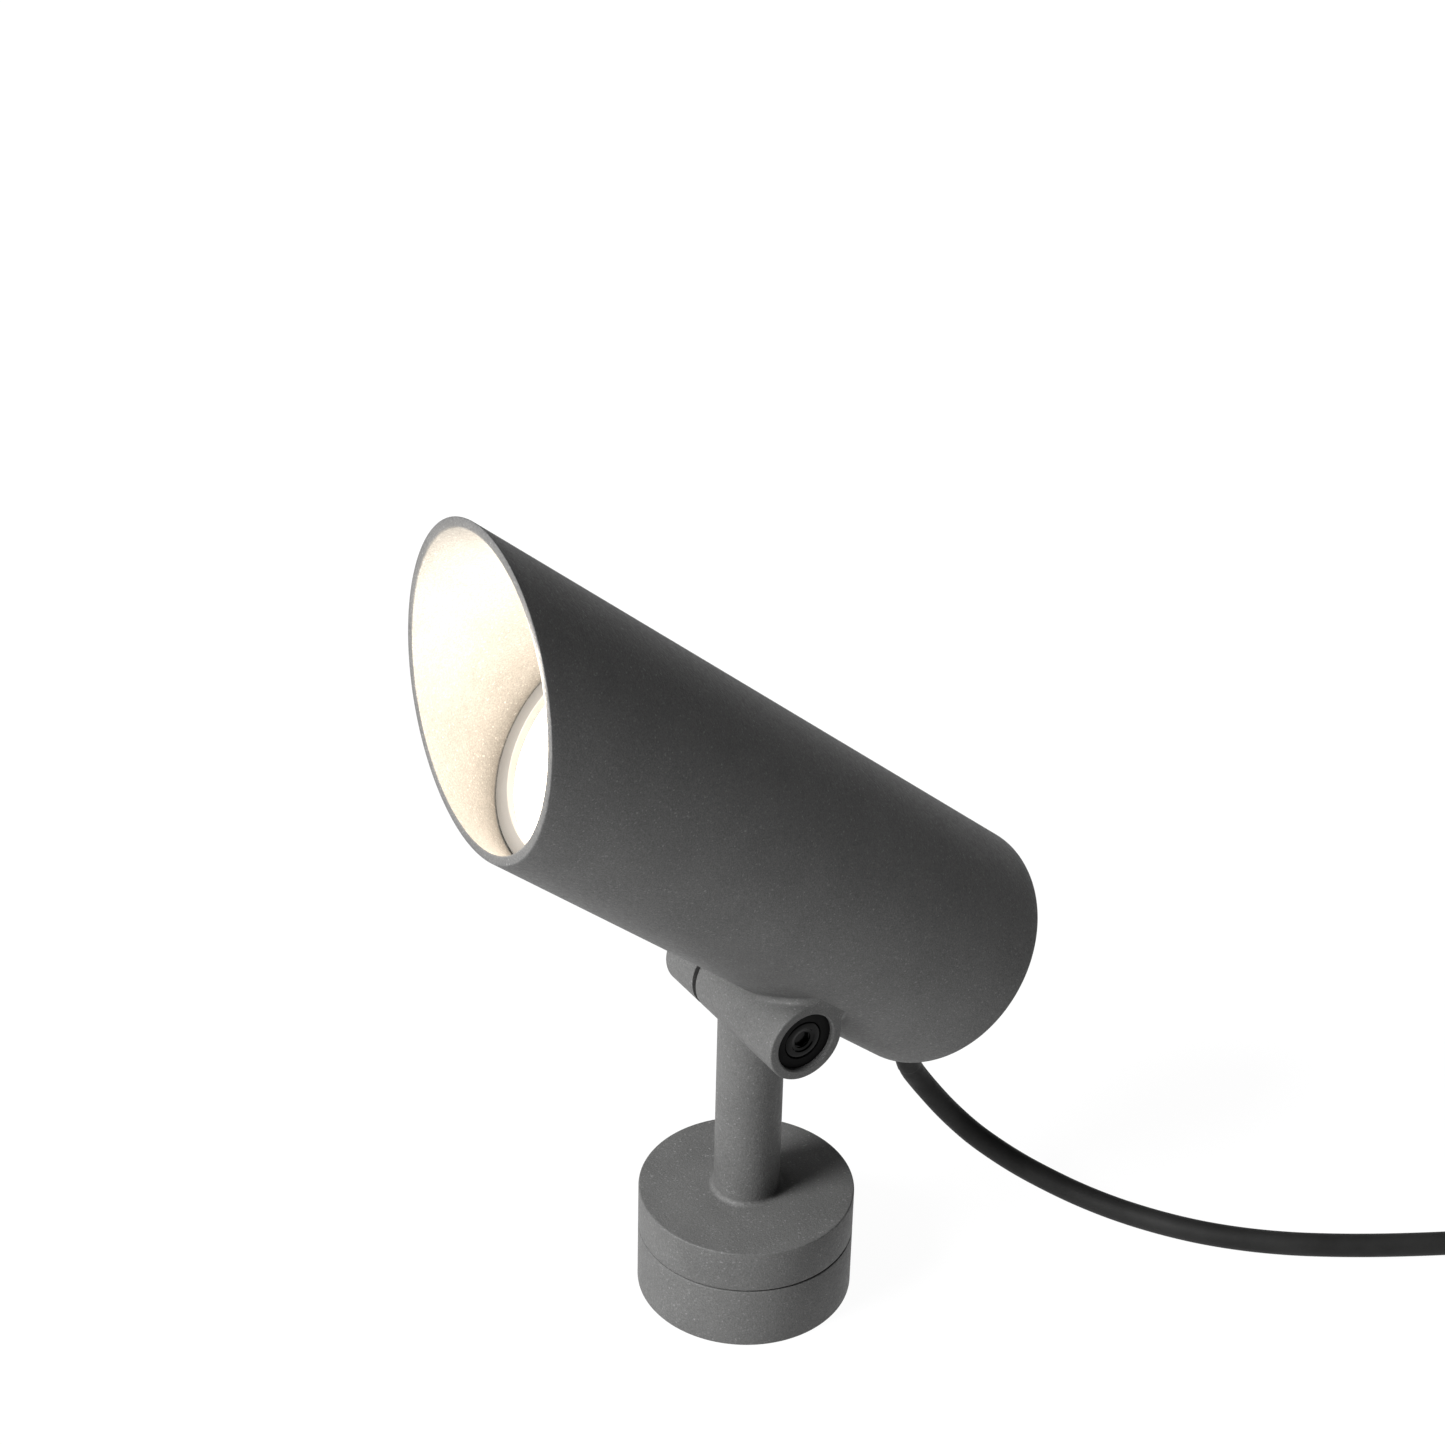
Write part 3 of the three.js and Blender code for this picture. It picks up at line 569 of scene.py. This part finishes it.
# ---------- cord ----------
def catmull(points, step):
    """Centripetal Catmull-Rom through the points, sampled about every step."""
    first = points[0] * 2 - points[1]
    last = points[-1] * 2 - points[-2]
    padded = [first, *points, last]
    path = []
    for i in range(1, len(padded) - 2):
        p0, p1, p2, p3 = padded[i - 1 : i + 3]
        t1 = (p1 - p0).length ** 0.5
        t2 = t1 + (p2 - p1).length ** 0.5
        t3 = t2 + (p3 - p2).length ** 0.5
        count = max(2, round((p2 - p1).length / step))
        for k in range(count):
            t = t1 + (t2 - t1) * k / count
            a1 = p0 * ((t1 - t) / t1) + p1 * (t / t1)
            a2 = p1 * ((t2 - t) / (t2 - t1)) + p2 * ((t - t1) / (t2 - t1))
            a3 = p2 * ((t3 - t) / (t3 - t2)) + p3 * ((t - t2) / (t3 - t2))
            b1 = a1 * ((t2 - t) / t2) + a2 * (t / t2)
            b2 = a2 * ((t3 - t) / (t3 - t1)) + a3 * ((t - t1) / (t3 - t1))
            path.append(b1 * ((t2 - t) / (t2 - t1)) + b2 * ((t - t1) / (t2 - t1)))
    path.append(points[-1])
    return path


def ease(share):
    return share * share * (3 - 2 * share)


def coil_point(turn):
    """The cord's centre after that many turns of the coil, 0 to 4, in millimetres."""
    whole = min(3, int(turn))
    share = ease(max(0.0, (turn - whole - 5 / 6) * 6))
    inner, outer = TURN_RADII
    radii = (outer, inner, inner, outer, outer)
    heights = (LOW_LAYER, LOW_LAYER, TOP_LAYER, TOP_LAYER, TOP_LAYER)
    radius = radii[whole] + (radii[whole + 1] - radii[whole]) * share
    height = heights[whole] + (heights[whole + 1] - heights[whole]) * share
    angle = MEET_ANGLE + 2 * math.pi * turn
    return Vector((COIL_X + radius * math.cos(angle), COIL_Y + radius * math.sin(angle), height))


def tail_point(share):
    """The last quarter turn and the turn in to the connector, 0 to 1."""
    on_coil = 1 - (math.pi / 2 * TAIL_BEND) / TAIL_RISE
    inward = share > on_coil
    part = (share - on_coil) / ((1 - on_coil) if inward else on_coil)
    centre = TURN_RADII[1] - TAIL_BEND if inward else 0
    radius = TAIL_BEND if inward else TURN_RADII[1]
    angle = MEET_ANGLE + part * math.pi / 2
    rise = (1 - math.cos(math.pi * share)) / 2
    return Vector((
        COIL_X + centre * math.cos(MEET_ANGLE) + radius * math.cos(angle),
        COIL_Y + centre * math.sin(MEET_ANGLE) + radius * math.sin(angle),
        TOP_LAYER + (CONNECTOR_HEIGHT - TOP_LAYER) * rise,
    ))


def cord_points():
    points = [Vector(p) for p in ROUTE]
    per_turn = 16
    meet = coil_point(0)
    along = Vector((-math.sin(MEET_ANGLE), math.cos(MEET_ANGLE), 0))
    points.append(meet - along * 14)
    for i in range(int(3.75 * per_turn)):
        points.append(coil_point(i / per_turn))
    for i in range(12):
        points.append(tail_point(i / 11))
    onward = Vector((-math.cos(MEET_ANGLE), -math.sin(MEET_ANGLE), 0))
    points.append(points[-1] + onward * (TAIL_STRAIGHT + 2))
    return points


def connector_flutes(count, depth, low, high):
    """Grip flutes cut into the middle of a turned piece."""
    def wave(angle, r, z):
        if not low < z < high or r < CONNECTOR_RADIUS - 1.2:
            return r
        return r - depth * (0.5 + 0.5 * math.cos(count * angle))
    return wave


def levels(low, high, count):
    return [low + (high - low) * i / count for i in range(count + 1)]


def make_connector():
    corners = [(0, 0, 0), (6, 0, 0.6), (9, 3, 0.6), (9, 12, 0.5), (0, 12, 0)]
    nut = lathe(outline(corners, 3), 96, connector_flutes(18, 0.5, 3.6, 11.6))
    nut_piece = add_piece("connector_gland_nut", nut, CONNECTOR, BLACK, "post",
                          ["connector_nut"])
    r = CONNECTOR_RADIUS
    corners = [(0, 12.3, 0), (r - 0.8, 12.3, 0.3), (r - 0.8, 14, 0), (r, 14.6, 0.3),
               (r, 22, 0.3), (r - 0.7, 22.8, 0), (r - 0.7, 30.4, 0), (r, 31.2, 0.3),
               (r, 39.9, 0.5), (0, 39.9, 0)]
    body_piece = add_piece("connector_shell", lathe(outline(corners, 3), 96),
                           CONNECTOR, BLACK, "post", ["connector_body"])
    section = [(0, 40.2), (r - 0.5, 40.2), (r, 40.7)]
    section += [(r, z) for z in levels(41.2, 49, 8)]
    section += [(r - 0.6, 50.4), (r - 2, 51.7), (r - 3, 52), (0, 52)]
    cap_piece = add_piece("connector_end_cap",
                          lathe(section, 120, connector_flutes(24, 0.6, 41.3, 48.9)),
                          CONNECTOR, BLACK, "post", ["connector_cap"])
    return [nut_piece, body_piece, cap_piece]


def rounded_loop(left, right, low, high, corner, steps=6):
    """Points of an upright rounded rectangle, as (x, z)."""
    points = []
    for cx, cz, start in (
        (right - corner, high - corner, 0), (left + corner, high - corner, 90),
        (left + corner, low + corner, 180), (right - corner, low + corner, 270),
    ):
        for k in range(steps + 1):
            angle = math.radians(start + 90 * k / steps)
            points.append((cx + corner * math.cos(angle), cz + corner * math.sin(angle)))
    return points


def make_tie():
    """The strap round the turns: a flat band with rounded edges and its overlapping end on top."""
    strap = COIL_LIFT - GAP
    left, right = COIL_INNER - 1.4, COIL_OUTER + 0.6
    top = COIL_TOP + GAP
    outer = rounded_loop(left - strap, right + strap, 0.02, top + strap, 2.6)
    inner = rounded_loop(left, right, strap, top, 1.8)
    bm = bmesh.new()
    sections = [(outer, -6.6), (outer, 6.6), (inner, 6.9), (inner, -6.9)]
    made = [[bm.verts.new((x, y, z)) for x, z in loop] for loop, y in sections]
    for first, second in zip(made, made[1:] + made[:1]):
        faces_between(bm, first, second)
    bmesh.ops.recalc_face_normals(bm, faces=bm.faces)
    middle = (left + right) / 2
    start, end = middle - 6, middle + 7.5
    lap = prism([
        [(start, -6.4, z), (end, -6.4, z), (end, 6.4, z), (start, 6.4, z)]
        for z in (top + strap - 0.1, top + strap + 0.05)
    ])
    bm = combine(bm, [lap], "UNION")
    place = COIL @ Matrix.Rotation(math.radians(200), 4, "Z")
    return add_piece("hook_and_loop_tie", bm, place, SEAL_RUBBER, "post",
                     ["coil_tie"], 40)


def make_cord():
    path = catmull(cord_points(), 2.2)
    bm = sweep(path, CORD_RADIUS, 20, 0.5)
    obj = add_piece("rubber_cord", bm, ROW, CORD_RUBBER, None,
                    ["power_cord", "cord_coil", "cord_tail"], 50)
    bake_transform(obj)
    pieces = make_connector()
    pieces.append(make_tie())


make_cord()


# ---------- base ----------
def make_base():
    inner = BASE_RADIUS - BASE_WALL
    top = SEAM_HEIGHT - SEAM_HALF
    cup = lathe(outline([
        (4.4, 0, 0.3), (BASE_RADIUS, 0, 0.6), (BASE_RADIUS, top, 0.45), (inner + 3.2, top, 0.2),
        (inner + 3.2, top - 1.5, 0), (inner + 1.2, top - 1.5, 0), (inner + 1.2, top, 0.2),
        (inner, top, 0.2), (inner, 3.5, 1), (12, 3.5, 1), (12, 20, 0.4), (4.4, 20, 0.3),
    ], 4), 256)
    tools = [plain_rod(8.2, -1, 8.4)]
    for side in (-1, 1):
        hole = lathe([(0, -1), (2.6, -1), (2.6, 1.5), (4.6, 4.5), (0, 4.5)], 48)
        tools.append(moved(hole, side * 21))
    cup = combine(cup, tools, "DIFFERENCE")
    add_piece("lower_disc", cup, ROW, COAT, "base", ["base_cup"])
    cap = lathe(outline([(0, 0, 0), (7.9, 0, 0.3), (7.9, 0.8, 0.2), (0, 0.8, 0)], 3), 64)
    add_piece("pivot_plug", cap, ROW, BLACK, "base", ["pivot_cap"])


def make_flange():
    low = SEAM_HEIGHT + SEAM_HALF
    inner = BASE_RADIUS - BASE_WALL
    flange = lathe(outline([
        (7.3, 22.1, 0.2), (14, 22.1, 0.3), (14, 30, 1), (inner, 30, 1), (inner, low, 0.2),
        (BASE_RADIUS, low, 0.45), (BASE_RADIUS, BASE_HEIGHT, 0.55), (7.3, BASE_HEIGHT, 0),
    ], 4), 256)
    add_piece("upper_disc", flange, ROW, COAT, "post", ["swivel_flange"])


def foot_fillet():
    """(r, z) points of the hollow fillet that runs from the disc up into the post."""
    points = []
    for k in range(9):
        angle = math.radians(90 * k / 8)
        points.append((
            POST_RADIUS + POST_FOOT_FILLET * (1 - math.sin(angle)),
            POST_FOOT + POST_FOOT_FILLET * (1 - math.cos(angle)),
        ))
    return points


def make_post():
    section = [(0, 24), (6.8, 24), (7, 24.2), (7, POST_FOOT)]
    section += foot_fillet()
    section += [(POST_RADIUS, z) for z in levels(44, HINGE_HEIGHT - 14, 12)]
    section += [(POST_RADIUS, HINGE_HEIGHT - 2), (0, HINGE_HEIGHT - 2)]
    post = lathe(section, 160)
    near = EAR_INNER - 0.06
    knuckle = lathe(outline([
        (0, KNUCKLE_FAR, 0), (KNUCKLE_RADIUS, KNUCKLE_FAR, 0.5), (KNUCKLE_RADIUS, near, 0.05),
        (0, near, 0),
    ], 4), 160)
    place = Matrix.Translation((0, 0, HINGE_HEIGHT)) @ ALONG_X
    post = combine(post, [turned(knuckle, place)], "UNION")
    bore = turned(plain_rod(KNUCKLE_BORE, -20, 20, 48), place)
    post = combine(post, [bore, plain_rod(PIVOT_BORE, 20, 36, 48)], "DIFFERENCE")
    add_piece("post_with_knuckle", post, ROW, COAT, "post", ["post_arm"])


make_base()
make_flange()
make_post()


# ---------- head housing ----------
def cut_height(radius, angle):
    """How far forward the slanted front lies at that radius and angle round the tube."""
    return FRONT_TIP - CUT_SLOPE * (HEAD_RADIUS - radius * math.sin(angle))


def tube_section(angle):
    """One closed section of the tube wall: outside from rear to front, over the rim, and back."""
    edge = 0.5
    bevel = 0.9
    straight_end = 126
    front = cut_height(HEAD_RADIUS, angle)
    outside = [(HEAD_RADIUS - bevel, REAR), (HEAD_RADIUS - 0.28 * bevel, REAR + 0.22 * bevel),
               (HEAD_RADIUS, REAR + bevel)]
    outside += [(HEAD_RADIUS, z) for z in levels(REAR + 5, straight_end, 40)]
    outside += [(HEAD_RADIUS, z) for z in levels(straight_end, front - edge, 12)[1:]]
    rim = [
        (HEAD_RADIUS - 0.12 * edge, cut_height(HEAD_RADIUS, angle) - 0.42 * edge),
        (HEAD_RADIUS - 0.45 * edge, cut_height(HEAD_RADIUS - 0.45 * edge, angle) - 0.1 * edge),
        (HEAD_RADIUS - edge, cut_height(HEAD_RADIUS - edge, angle)),
        (INNER_RADIUS + edge, cut_height(INNER_RADIUS + edge, angle)),
        (INNER_RADIUS + 0.45 * edge, cut_height(INNER_RADIUS + 0.45 * edge, angle) - 0.1 * edge),
        (INNER_RADIUS + 0.12 * edge, cut_height(INNER_RADIUS, angle) - 0.42 * edge),
    ]
    inner_front = cut_height(INNER_RADIUS, angle) - edge
    ledge = BEZEL_FACE - 11.4
    inside = [(INNER_RADIUS, z) for z in levels(inner_front, ledge, 14)]
    inside += [
        (35.2, ledge), (35.2, ledge - 3), (INNER_RADIUS, BEZEL_FACE - 17),
        (INNER_RADIUS, REAR + 12.3), (34.8, REAR + 12.3), (34.8, REAR + 7.1),
        (INNER_RADIUS, REAR + 7.1), (INNER_RADIUS, REAR + 0.3), (INNER_RADIUS + 0.3, REAR),
    ]
    return outside + rim + inside


def tube_body(segments=256):
    bm = bmesh.new()
    rings = []
    for s in range(segments):
        angle = 2 * math.pi * s / segments
        rings.append([
            bm.verts.new((r * math.cos(angle), r * math.sin(angle) + HEAD_OFFSET, z))
            for r, z in tube_section(angle)
        ])
    for s in range(segments):
        faces_between(bm, rings[s], rings[(s + 1) % segments])
    bmesh.ops.recalc_face_normals(bm, faces=bm.faces)
    return bm


def ear_body(side):
    """The round end of the hinge barrel on that side of the head."""
    inner, outer = side * EAR_INNER, side * EAR_OUTER
    barrel = lathe(outline([
        (0, inner, 0), (KNUCKLE_RADIUS, inner, 0), (KNUCKLE_RADIUS, outer, 0.55), (0, outer, 0),
    ], 4), 192)
    return turned(barrel, ALONG_X)


def ear_fillet(side):
    """The hollow fillet that a ball leaves as it rolls between the ear's barrel and the tube."""
    loops = []
    for x in levels(EAR_INNER - 2, EAR_OUTER + 1.8, 48):
        ball_y = HEAD_OFFSET - math.sqrt((HEAD_RADIUS + EAR_FILLET) ** 2 - x * x)
        ball_z = math.sqrt((KNUCKLE_RADIUS + EAR_FILLET) ** 2 - ball_y * ball_y)
        ball = Vector((x, ball_y, ball_z))
        to_barrel = Vector((0, -ball_y, -ball_z)).normalized()
        to_tube = Vector((-x, HEAD_OFFSET - ball_y, 0)).normalized()
        span = to_barrel.angle(to_tube)
        arc = []
        for k in range(9):
            share = k / 8
            turn = (
                to_barrel * math.sin((1 - share) * span) + to_tube * math.sin(share * span)
            ) / math.sin(span)
            arc.append(ball + turn * EAR_FILLET)
        in_wall = arc[-1] + to_tube
        half = [*arc, in_wall]
        other_half = [Vector((p.x, p.y, -p.z)) for p in reversed(half)]
        loop = [Vector((x, 0, 0)), *half, *other_half]
        loops.append([(side * p.x, p.y, p.z) for p in loop])
    return prism(loops)


def box_body(x0, x1, y0, y1, z0, z1):
    return prism([[(x0, y0, z), (x1, y0, z), (x1, y1, z), (x0, y1, z)] for z in (z0, z1)])


def pocket_body(radius, half, reach, lift):
    """The room in which the knuckle and the post's top swing."""
    barrel = turned(plain_rod(radius, -half, half, 72), ALONG_X)
    wedge = [(0, -6), (0, 2), (-lift / 1.7, lift), (-reach, -0.4), (-reach, -6)]
    side = prism([[(x, y, z) for z, y in wedge] for x in (-half, half)])
    return combine(barrel, [side], "UNION")


def screw_place(index):
    angle = math.pi / 2 + index * 2 * math.pi / 3
    return SCREW_CIRCLE * math.cos(angle), SCREW_CIRCLE * math.sin(angle)


def make_housing():
    bore = moved(plain_rod(INNER_RADIUS + 0.6, REAR - 1, FRONT_TIP, 128), 0, HEAD_OFFSET)
    parts = []
    for side in (-1, 1):
        limits = sorted((side * EAR_INNER, side * EAR_OUTER))
        slab = box_body(*limits, -20, 24, -30, 30)
        fillet = combine(ear_fillet(side), [slab], "INTERSECT")
        parts.append(combine(ear_body(side), [fillet], "UNION"))
    cover = combine(
        pocket_body(16.4, EAR_INNER + 2.2, 27.5, 12.6),
        [moved(plain_rod(HEAD_RADIUS - 1, REAR + 2, FRONT_TIP, 128), 0, HEAD_OFFSET)],
        "INTERSECT",
    )
    ears = combine(parts[0], parts[1:], "UNION")
    ears = combine(ears, [bore], "DIFFERENCE")
    housing = combine(tube_body(), [ears, cover], "UNION")
    tools = [pocket_body(14, EAR_INNER, 24, 10)]
    bottom = EAR_OUTER - COUNTERBORE_DEPTH
    wide = COUNTERBORE_RADIUS + 0.7
    near = lathe([
        (0, bottom), (COUNTERBORE_RADIUS, bottom), (COUNTERBORE_RADIUS, EAR_OUTER - 0.5),
        (COUNTERBORE_RADIUS + 0.25, EAR_OUTER - 0.15), (wide, EAR_OUTER + 0.1), (wide, 35), (0, 35),
    ], 96)
    tools.append(turned(near, ALONG_X))
    tools.append(turned(plain_rod(COUNTERBORE_RADIUS, -35, -22, 96), ALONG_X))
    tools.append(turned(plain_rod(BOLT_RADIUS + GAP, -30, 30, 48), ALONG_X))
    housing = combine(housing, tools, "DIFFERENCE")
    piece = add_piece("lamp_housing", housing, HEAD, COAT, "head", ["head_housing"], 28)
    # The forward faces of the rim take the lighter coat, which paints the lamp's glow on them.
    piece.data.materials.append(RIM_COAT_PAINTED_GLOW)
    forward = HEAD.to_quaternion() @ Vector((0, -CUT_SLOPE, 1)).normalized()
    for face in piece.data.polygons:
        ahead = (HEAD.inverted() @ face.center).z
        if ahead > 120 and face.normal.dot(forward) > 0.9:
            face.material_index = 1


make_housing()


# ---------- hinge hardware ----------
def make_hinge():
    seat = EAR_OUTER - COUNTERBORE_DEPTH + GAP
    collar_top = EAR_OUTER - 1.7
    collar_bore = BOLT_HEAD_RADIUS + 0.12
    collar_radius = COUNTERBORE_RADIUS - 0.05
    collar = lathe(outline([
        (collar_bore, seat, 0), (collar_radius, seat, 0), (collar_radius, collar_top, 0.12),
        (collar_bore, collar_top, 0.15),
    ], 3), 128)
    add_piece("collar_disc", collar, HEAD_HINGE, COLLAR_BLACK, "head",
              ["bolt_collar"])
    top = seat + BOLT_HEAD_HEIGHT
    head = lathe(outline([
        (0, -27, 0), (BOLT_RADIUS, -27, 0.6), (BOLT_RADIUS, seat, 0),
        (BOLT_HEAD_RADIUS, seat, 0.2), (BOLT_HEAD_RADIUS, top, 0.75), (4.3, top, 0.1),
        (3.9, top - 0.4, 0.1), (3.0, top - 0.5, 0.1), (2.9, top - 0.9, 0), (0, top - 0.9, 0),
    ], 3), 96)
    socket = turned(hex_rod(5.0, seat + 3, 31), Matrix.Rotation(math.radians(SOCKET_TURN), 4, "Z"))
    bolt = combine(head, [socket], "DIFFERENCE")
    add_piece("socket_head_bolt", bolt, HEAD_HINGE, BLACK_OXIDE, "head", ["tilt_bolt"])
    plug = lathe(outline([
        (0, -29.2, 0), (8.2, -29.2, 0.8), (9.7, -28.6, 0.4), (9.7, -27.4, 0.2), (0, -27.4, 0),
    ], 3), 96)
    add_piece("far_side_plug", plug, HEAD_HINGE, BLACK, "head", ["nut_cap"])


def make_optics():
    face = BEZEL_FACE
    ring = lathe(outline([
        (GLASS_OPENING, face - 3, 0.1), (GLASS_RADIUS, face - 3, 0.2),
        (GLASS_RADIUS, face, 0.35), (GLASS_OPENING, face, 0.25),
    ], 4), 192)
    add_piece("glass_retaining_ring", ring, AXIS, BEZEL, "head", ["bezel_ring"])
    pane = lathe(outline([
        (0, face - 7.3, 0), (GLASS_RADIUS, face - 7.3, 0.4), (GLASS_RADIUS, face - 3.3, 0.4),
        (0, face - 3.3, 0),
    ], 3), 160)
    add_piece("front_pane", pane, AXIS, GLASS, "head", ["front_glass"])


def make_rear():
    back = REAR + 1
    cap = lathe(outline([
        (0, back, 0), (37.6, back, 0.8), (37.6, back + 4.1, 0.3), (0, back + 4.1, 0),
    ], 4), 192)
    boss = lathe(outline([
        (0, -8, 0), (OUTLET_BOSS_RADIUS, -8, 0), (OUTLET_BOSS_RADIUS, OUTLET_BOSS, 0.7),
        (0, OUTLET_BOSS, 0),
    ], 4), 96)
    inside_only = plain_rod(36, back - 20, back + 8, 96)
    boss = combine(turned(boss, OUTLET_IN_TUBE), [inside_only], "INTERSECT")
    cap = combine(cap, [boss], "UNION")
    tools = [turned(plain_rod(GLAND_RADIUS + GAP, GLAND_END - GAP, 20, 64), OUTLET_IN_TUBE),
             turned(plain_rod(CORD_BORE, -20, 0, 48), OUTLET_IN_TUBE)]
    for i in range(3):
        x, y = screw_place(i)
        tools.append(moved(plain_rod(3.7, back - 1, back + 2.3, 48), x, y))
        tools.append(moved(plain_rod(2.2, back + 1, back + 6, 32), x, y))
    cap = combine(cap, tools, "DIFFERENCE")
    add_piece("end_cap", cap, AXIS, COAT, "head", ["rear_cap"])
    for i in range(3):
        x, y = screw_place(i)
        screw = lathe(outline([
            (0, back + 0.15, 0), (3.4, back + 0.15, 0.5), (3.4, back + 2, 0.1), (1.8, back + 2, 0),
            (1.8, REAR + 15, 0.3), (0, REAR + 15, 0),
        ], 3), 48)
        screw = combine(screw, [hex_rod(2.6, back - 1, back + 1.3)], "DIFFERENCE")
        add_piece(f"cap_screw_{i + 1}", moved(screw, x, y), AXIS, STEEL, "head",
                  [f"rear_screw_{i + 1}"])


def make_gland():
    collar = OUTLET_BOSS + GAP
    nut_low = collar + 2 + GAP
    seal_top = nut_low + 3.1
    chamfer = lathe([(0, collar - 1), (9.55, collar - 1), (9.55, collar + 1.2),
                     (8.7, collar + 2.2), (0, collar + 2.2)], 64)
    flats = combine(hex_rod(16.6, collar, collar + 2), [chamfer], "INTERSECT")
    body = combine(rod(GLAND_RADIUS, GLAND_END, collar + 1, 0.4, 72), [flats], "UNION")
    body = combine(body, [plain_rod(CORD_BORE, -20, 40, 48)], "DIFFERENCE")
    add_piece("gland_sleeve", body, OUTLET, BLACK, "head", ["gland_body"])
    section = [(5.9, nut_low), (9.1, nut_low), (9.4, nut_low + 0.3)]
    section += [(9.4, z) for z in levels(nut_low + 0.6, nut_low + 2.4, 4)]
    section += [(9.1, seal_top), (8.4, seal_top + 0.8), (7.2, OUTLET_LENGTH - 0.3),
                (6.6, OUTLET_LENGTH), (CORD_BORE, OUTLET_LENGTH), (CORD_BORE, seal_top),
                (5.9, seal_top)]

    def grip(angle, r, z):
        if r < 8.8 or not nut_low + 0.4 < z < seal_top:
            return r
        return r - 0.45 * (0.5 + 0.5 * math.cos(16 * angle))

    nut = lathe(section, 96, grip)
    add_piece("gland_cap_nut", nut, OUTLET, BLACK, "head", ["gland_nut"])


def make_relief():
    """The tapered boot on the cord: grooved next to the gland, where the real boot bends, then
    smooth.
    """
    fine = catmull([Vector(p) for p in ROUTE[:8]], 0.4)
    path = [fine[0]]
    run = 0.0
    for a, b in zip(fine, fine[1:]):
        run += (b - a).length
        if run > RELIEF_LENGTH:
            break
        path.append(b)
    groove_every = 3.2
    first_groove = 2.5

    def radius(length):
        taper = CORD_RADIUS + 0.18 + 2.1 * max(0.0, 1 - length / (0.8 * RELIEF_LENGTH)) ** 1.3
        if not first_groove < length < first_groove + 3.8 * groove_every:
            return taper
        phase = (length - first_groove) % groove_every
        return taper - (0.7 if phase > groove_every * 0.62 else 0)

    boot = sweep(path[1:], radius, 32, 0.12)
    add_piece("bend_relief", boot, ROW, CORD_RUBBER, "head", ["strain_relief"], 40)


make_hinge()
make_optics()
make_rear()
make_gland()
make_relief()


# ---------- floor and light ----------
def make_floor():
    size, depth = 6.0, 0.02
    bm = bmesh.new()
    corners = [(-size, -size), (size, -size), (size, size), (-size, size)]
    top = [bm.verts.new((x, y, 0)) for x, y in corners]
    low = [bm.verts.new((x, y, -depth)) for x, y in corners]
    bm.faces.new(top)
    bm.faces.new(low)
    faces_between(bm, top, low)
    bmesh.ops.recalc_face_normals(bm, faces=bm.faces)
    floor = raw_object(bm, "floor")
    n = Nodes("pale_floor")
    n.set(Base_Color=(0.05, 0.05, 0.05, 1), Roughness=1.0, Specular_IOR_Level=0.0,
          Emission_Color=(1, 1, 1, 1), Emission_Strength=0.965)
    floor.data.materials.append(n.material)


def make_world():
    world = bpy.data.worlds.new("studio")
    scene.world = world
    world.use_nodes = True
    tree = world.node_tree
    background = tree.nodes["Background"]
    background.inputs["Color"].default_value = (1, 1, 1, 1)
    path = tree.nodes.new("ShaderNodeLightPath")
    strength = tree.nodes.new("ShaderNodeMapRange")
    strength.inputs["To Min"].default_value = 0.03
    strength.inputs["To Max"].default_value = 1.0
    tree.links.new(path.outputs["Is Camera Ray"], strength.inputs["Value"])
    tree.links.new(strength.outputs["Result"], background.inputs["Strength"])


def make_sun(name, turn, rise, strength, degrees):
    """A soft studio light, turned and raised by degrees from the main view's side."""
    toward = Vector((0.8236, -0.5671, 0))
    left = Vector((-0.5671, -0.8236, 0))
    turn, rise = math.radians(turn), math.radians(rise)
    direction = (toward * math.cos(turn) + left * math.sin(turn)) * math.cos(rise)
    direction.z = math.sin(rise)
    data = bpy.data.lights.new(name, "SUN")
    data.energy = strength
    data.angle = math.radians(degrees)
    light = bpy.data.objects.new(name, data)
    scene.collection.objects.link(light)
    light.rotation_euler = direction.to_track_quat("Z", "Y").to_euler()


def make_glow(name, energy, colour, ahead, up):
    """Part of the light in the glare shield: a soft ball of light in front of the glass."""
    data = bpy.data.lights.new(name, "POINT")
    data.energy = energy
    data.color = colour
    data.shadow_soft_size = 0.012
    light = bpy.data.objects.new(name, data)
    scene.collection.objects.link(light)
    light.visible_camera = False
    light.location = AXIS @ Vector((0, up, BEZEL_FACE + ahead))
    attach(light, "head")


make_floor()
make_world()
make_sun("key", 58, 39, 5.8, 22)
make_sun("low_fill", 42, 12, 1.3, 45)
make_sun("high_fill", 105, 55, 0.95, 45)
make_sun("back_fill", 195, 8, 0.3, 50)
make_glow("glow_at_the_glass", 0.24, (1.0, 0.78, 0.57), 14, 0)
make_glow("glow_at_the_mouth", 0.58, (1.0, 0.91, 0.78), 52, 4)
scene.view_settings.view_transform = "Standard"
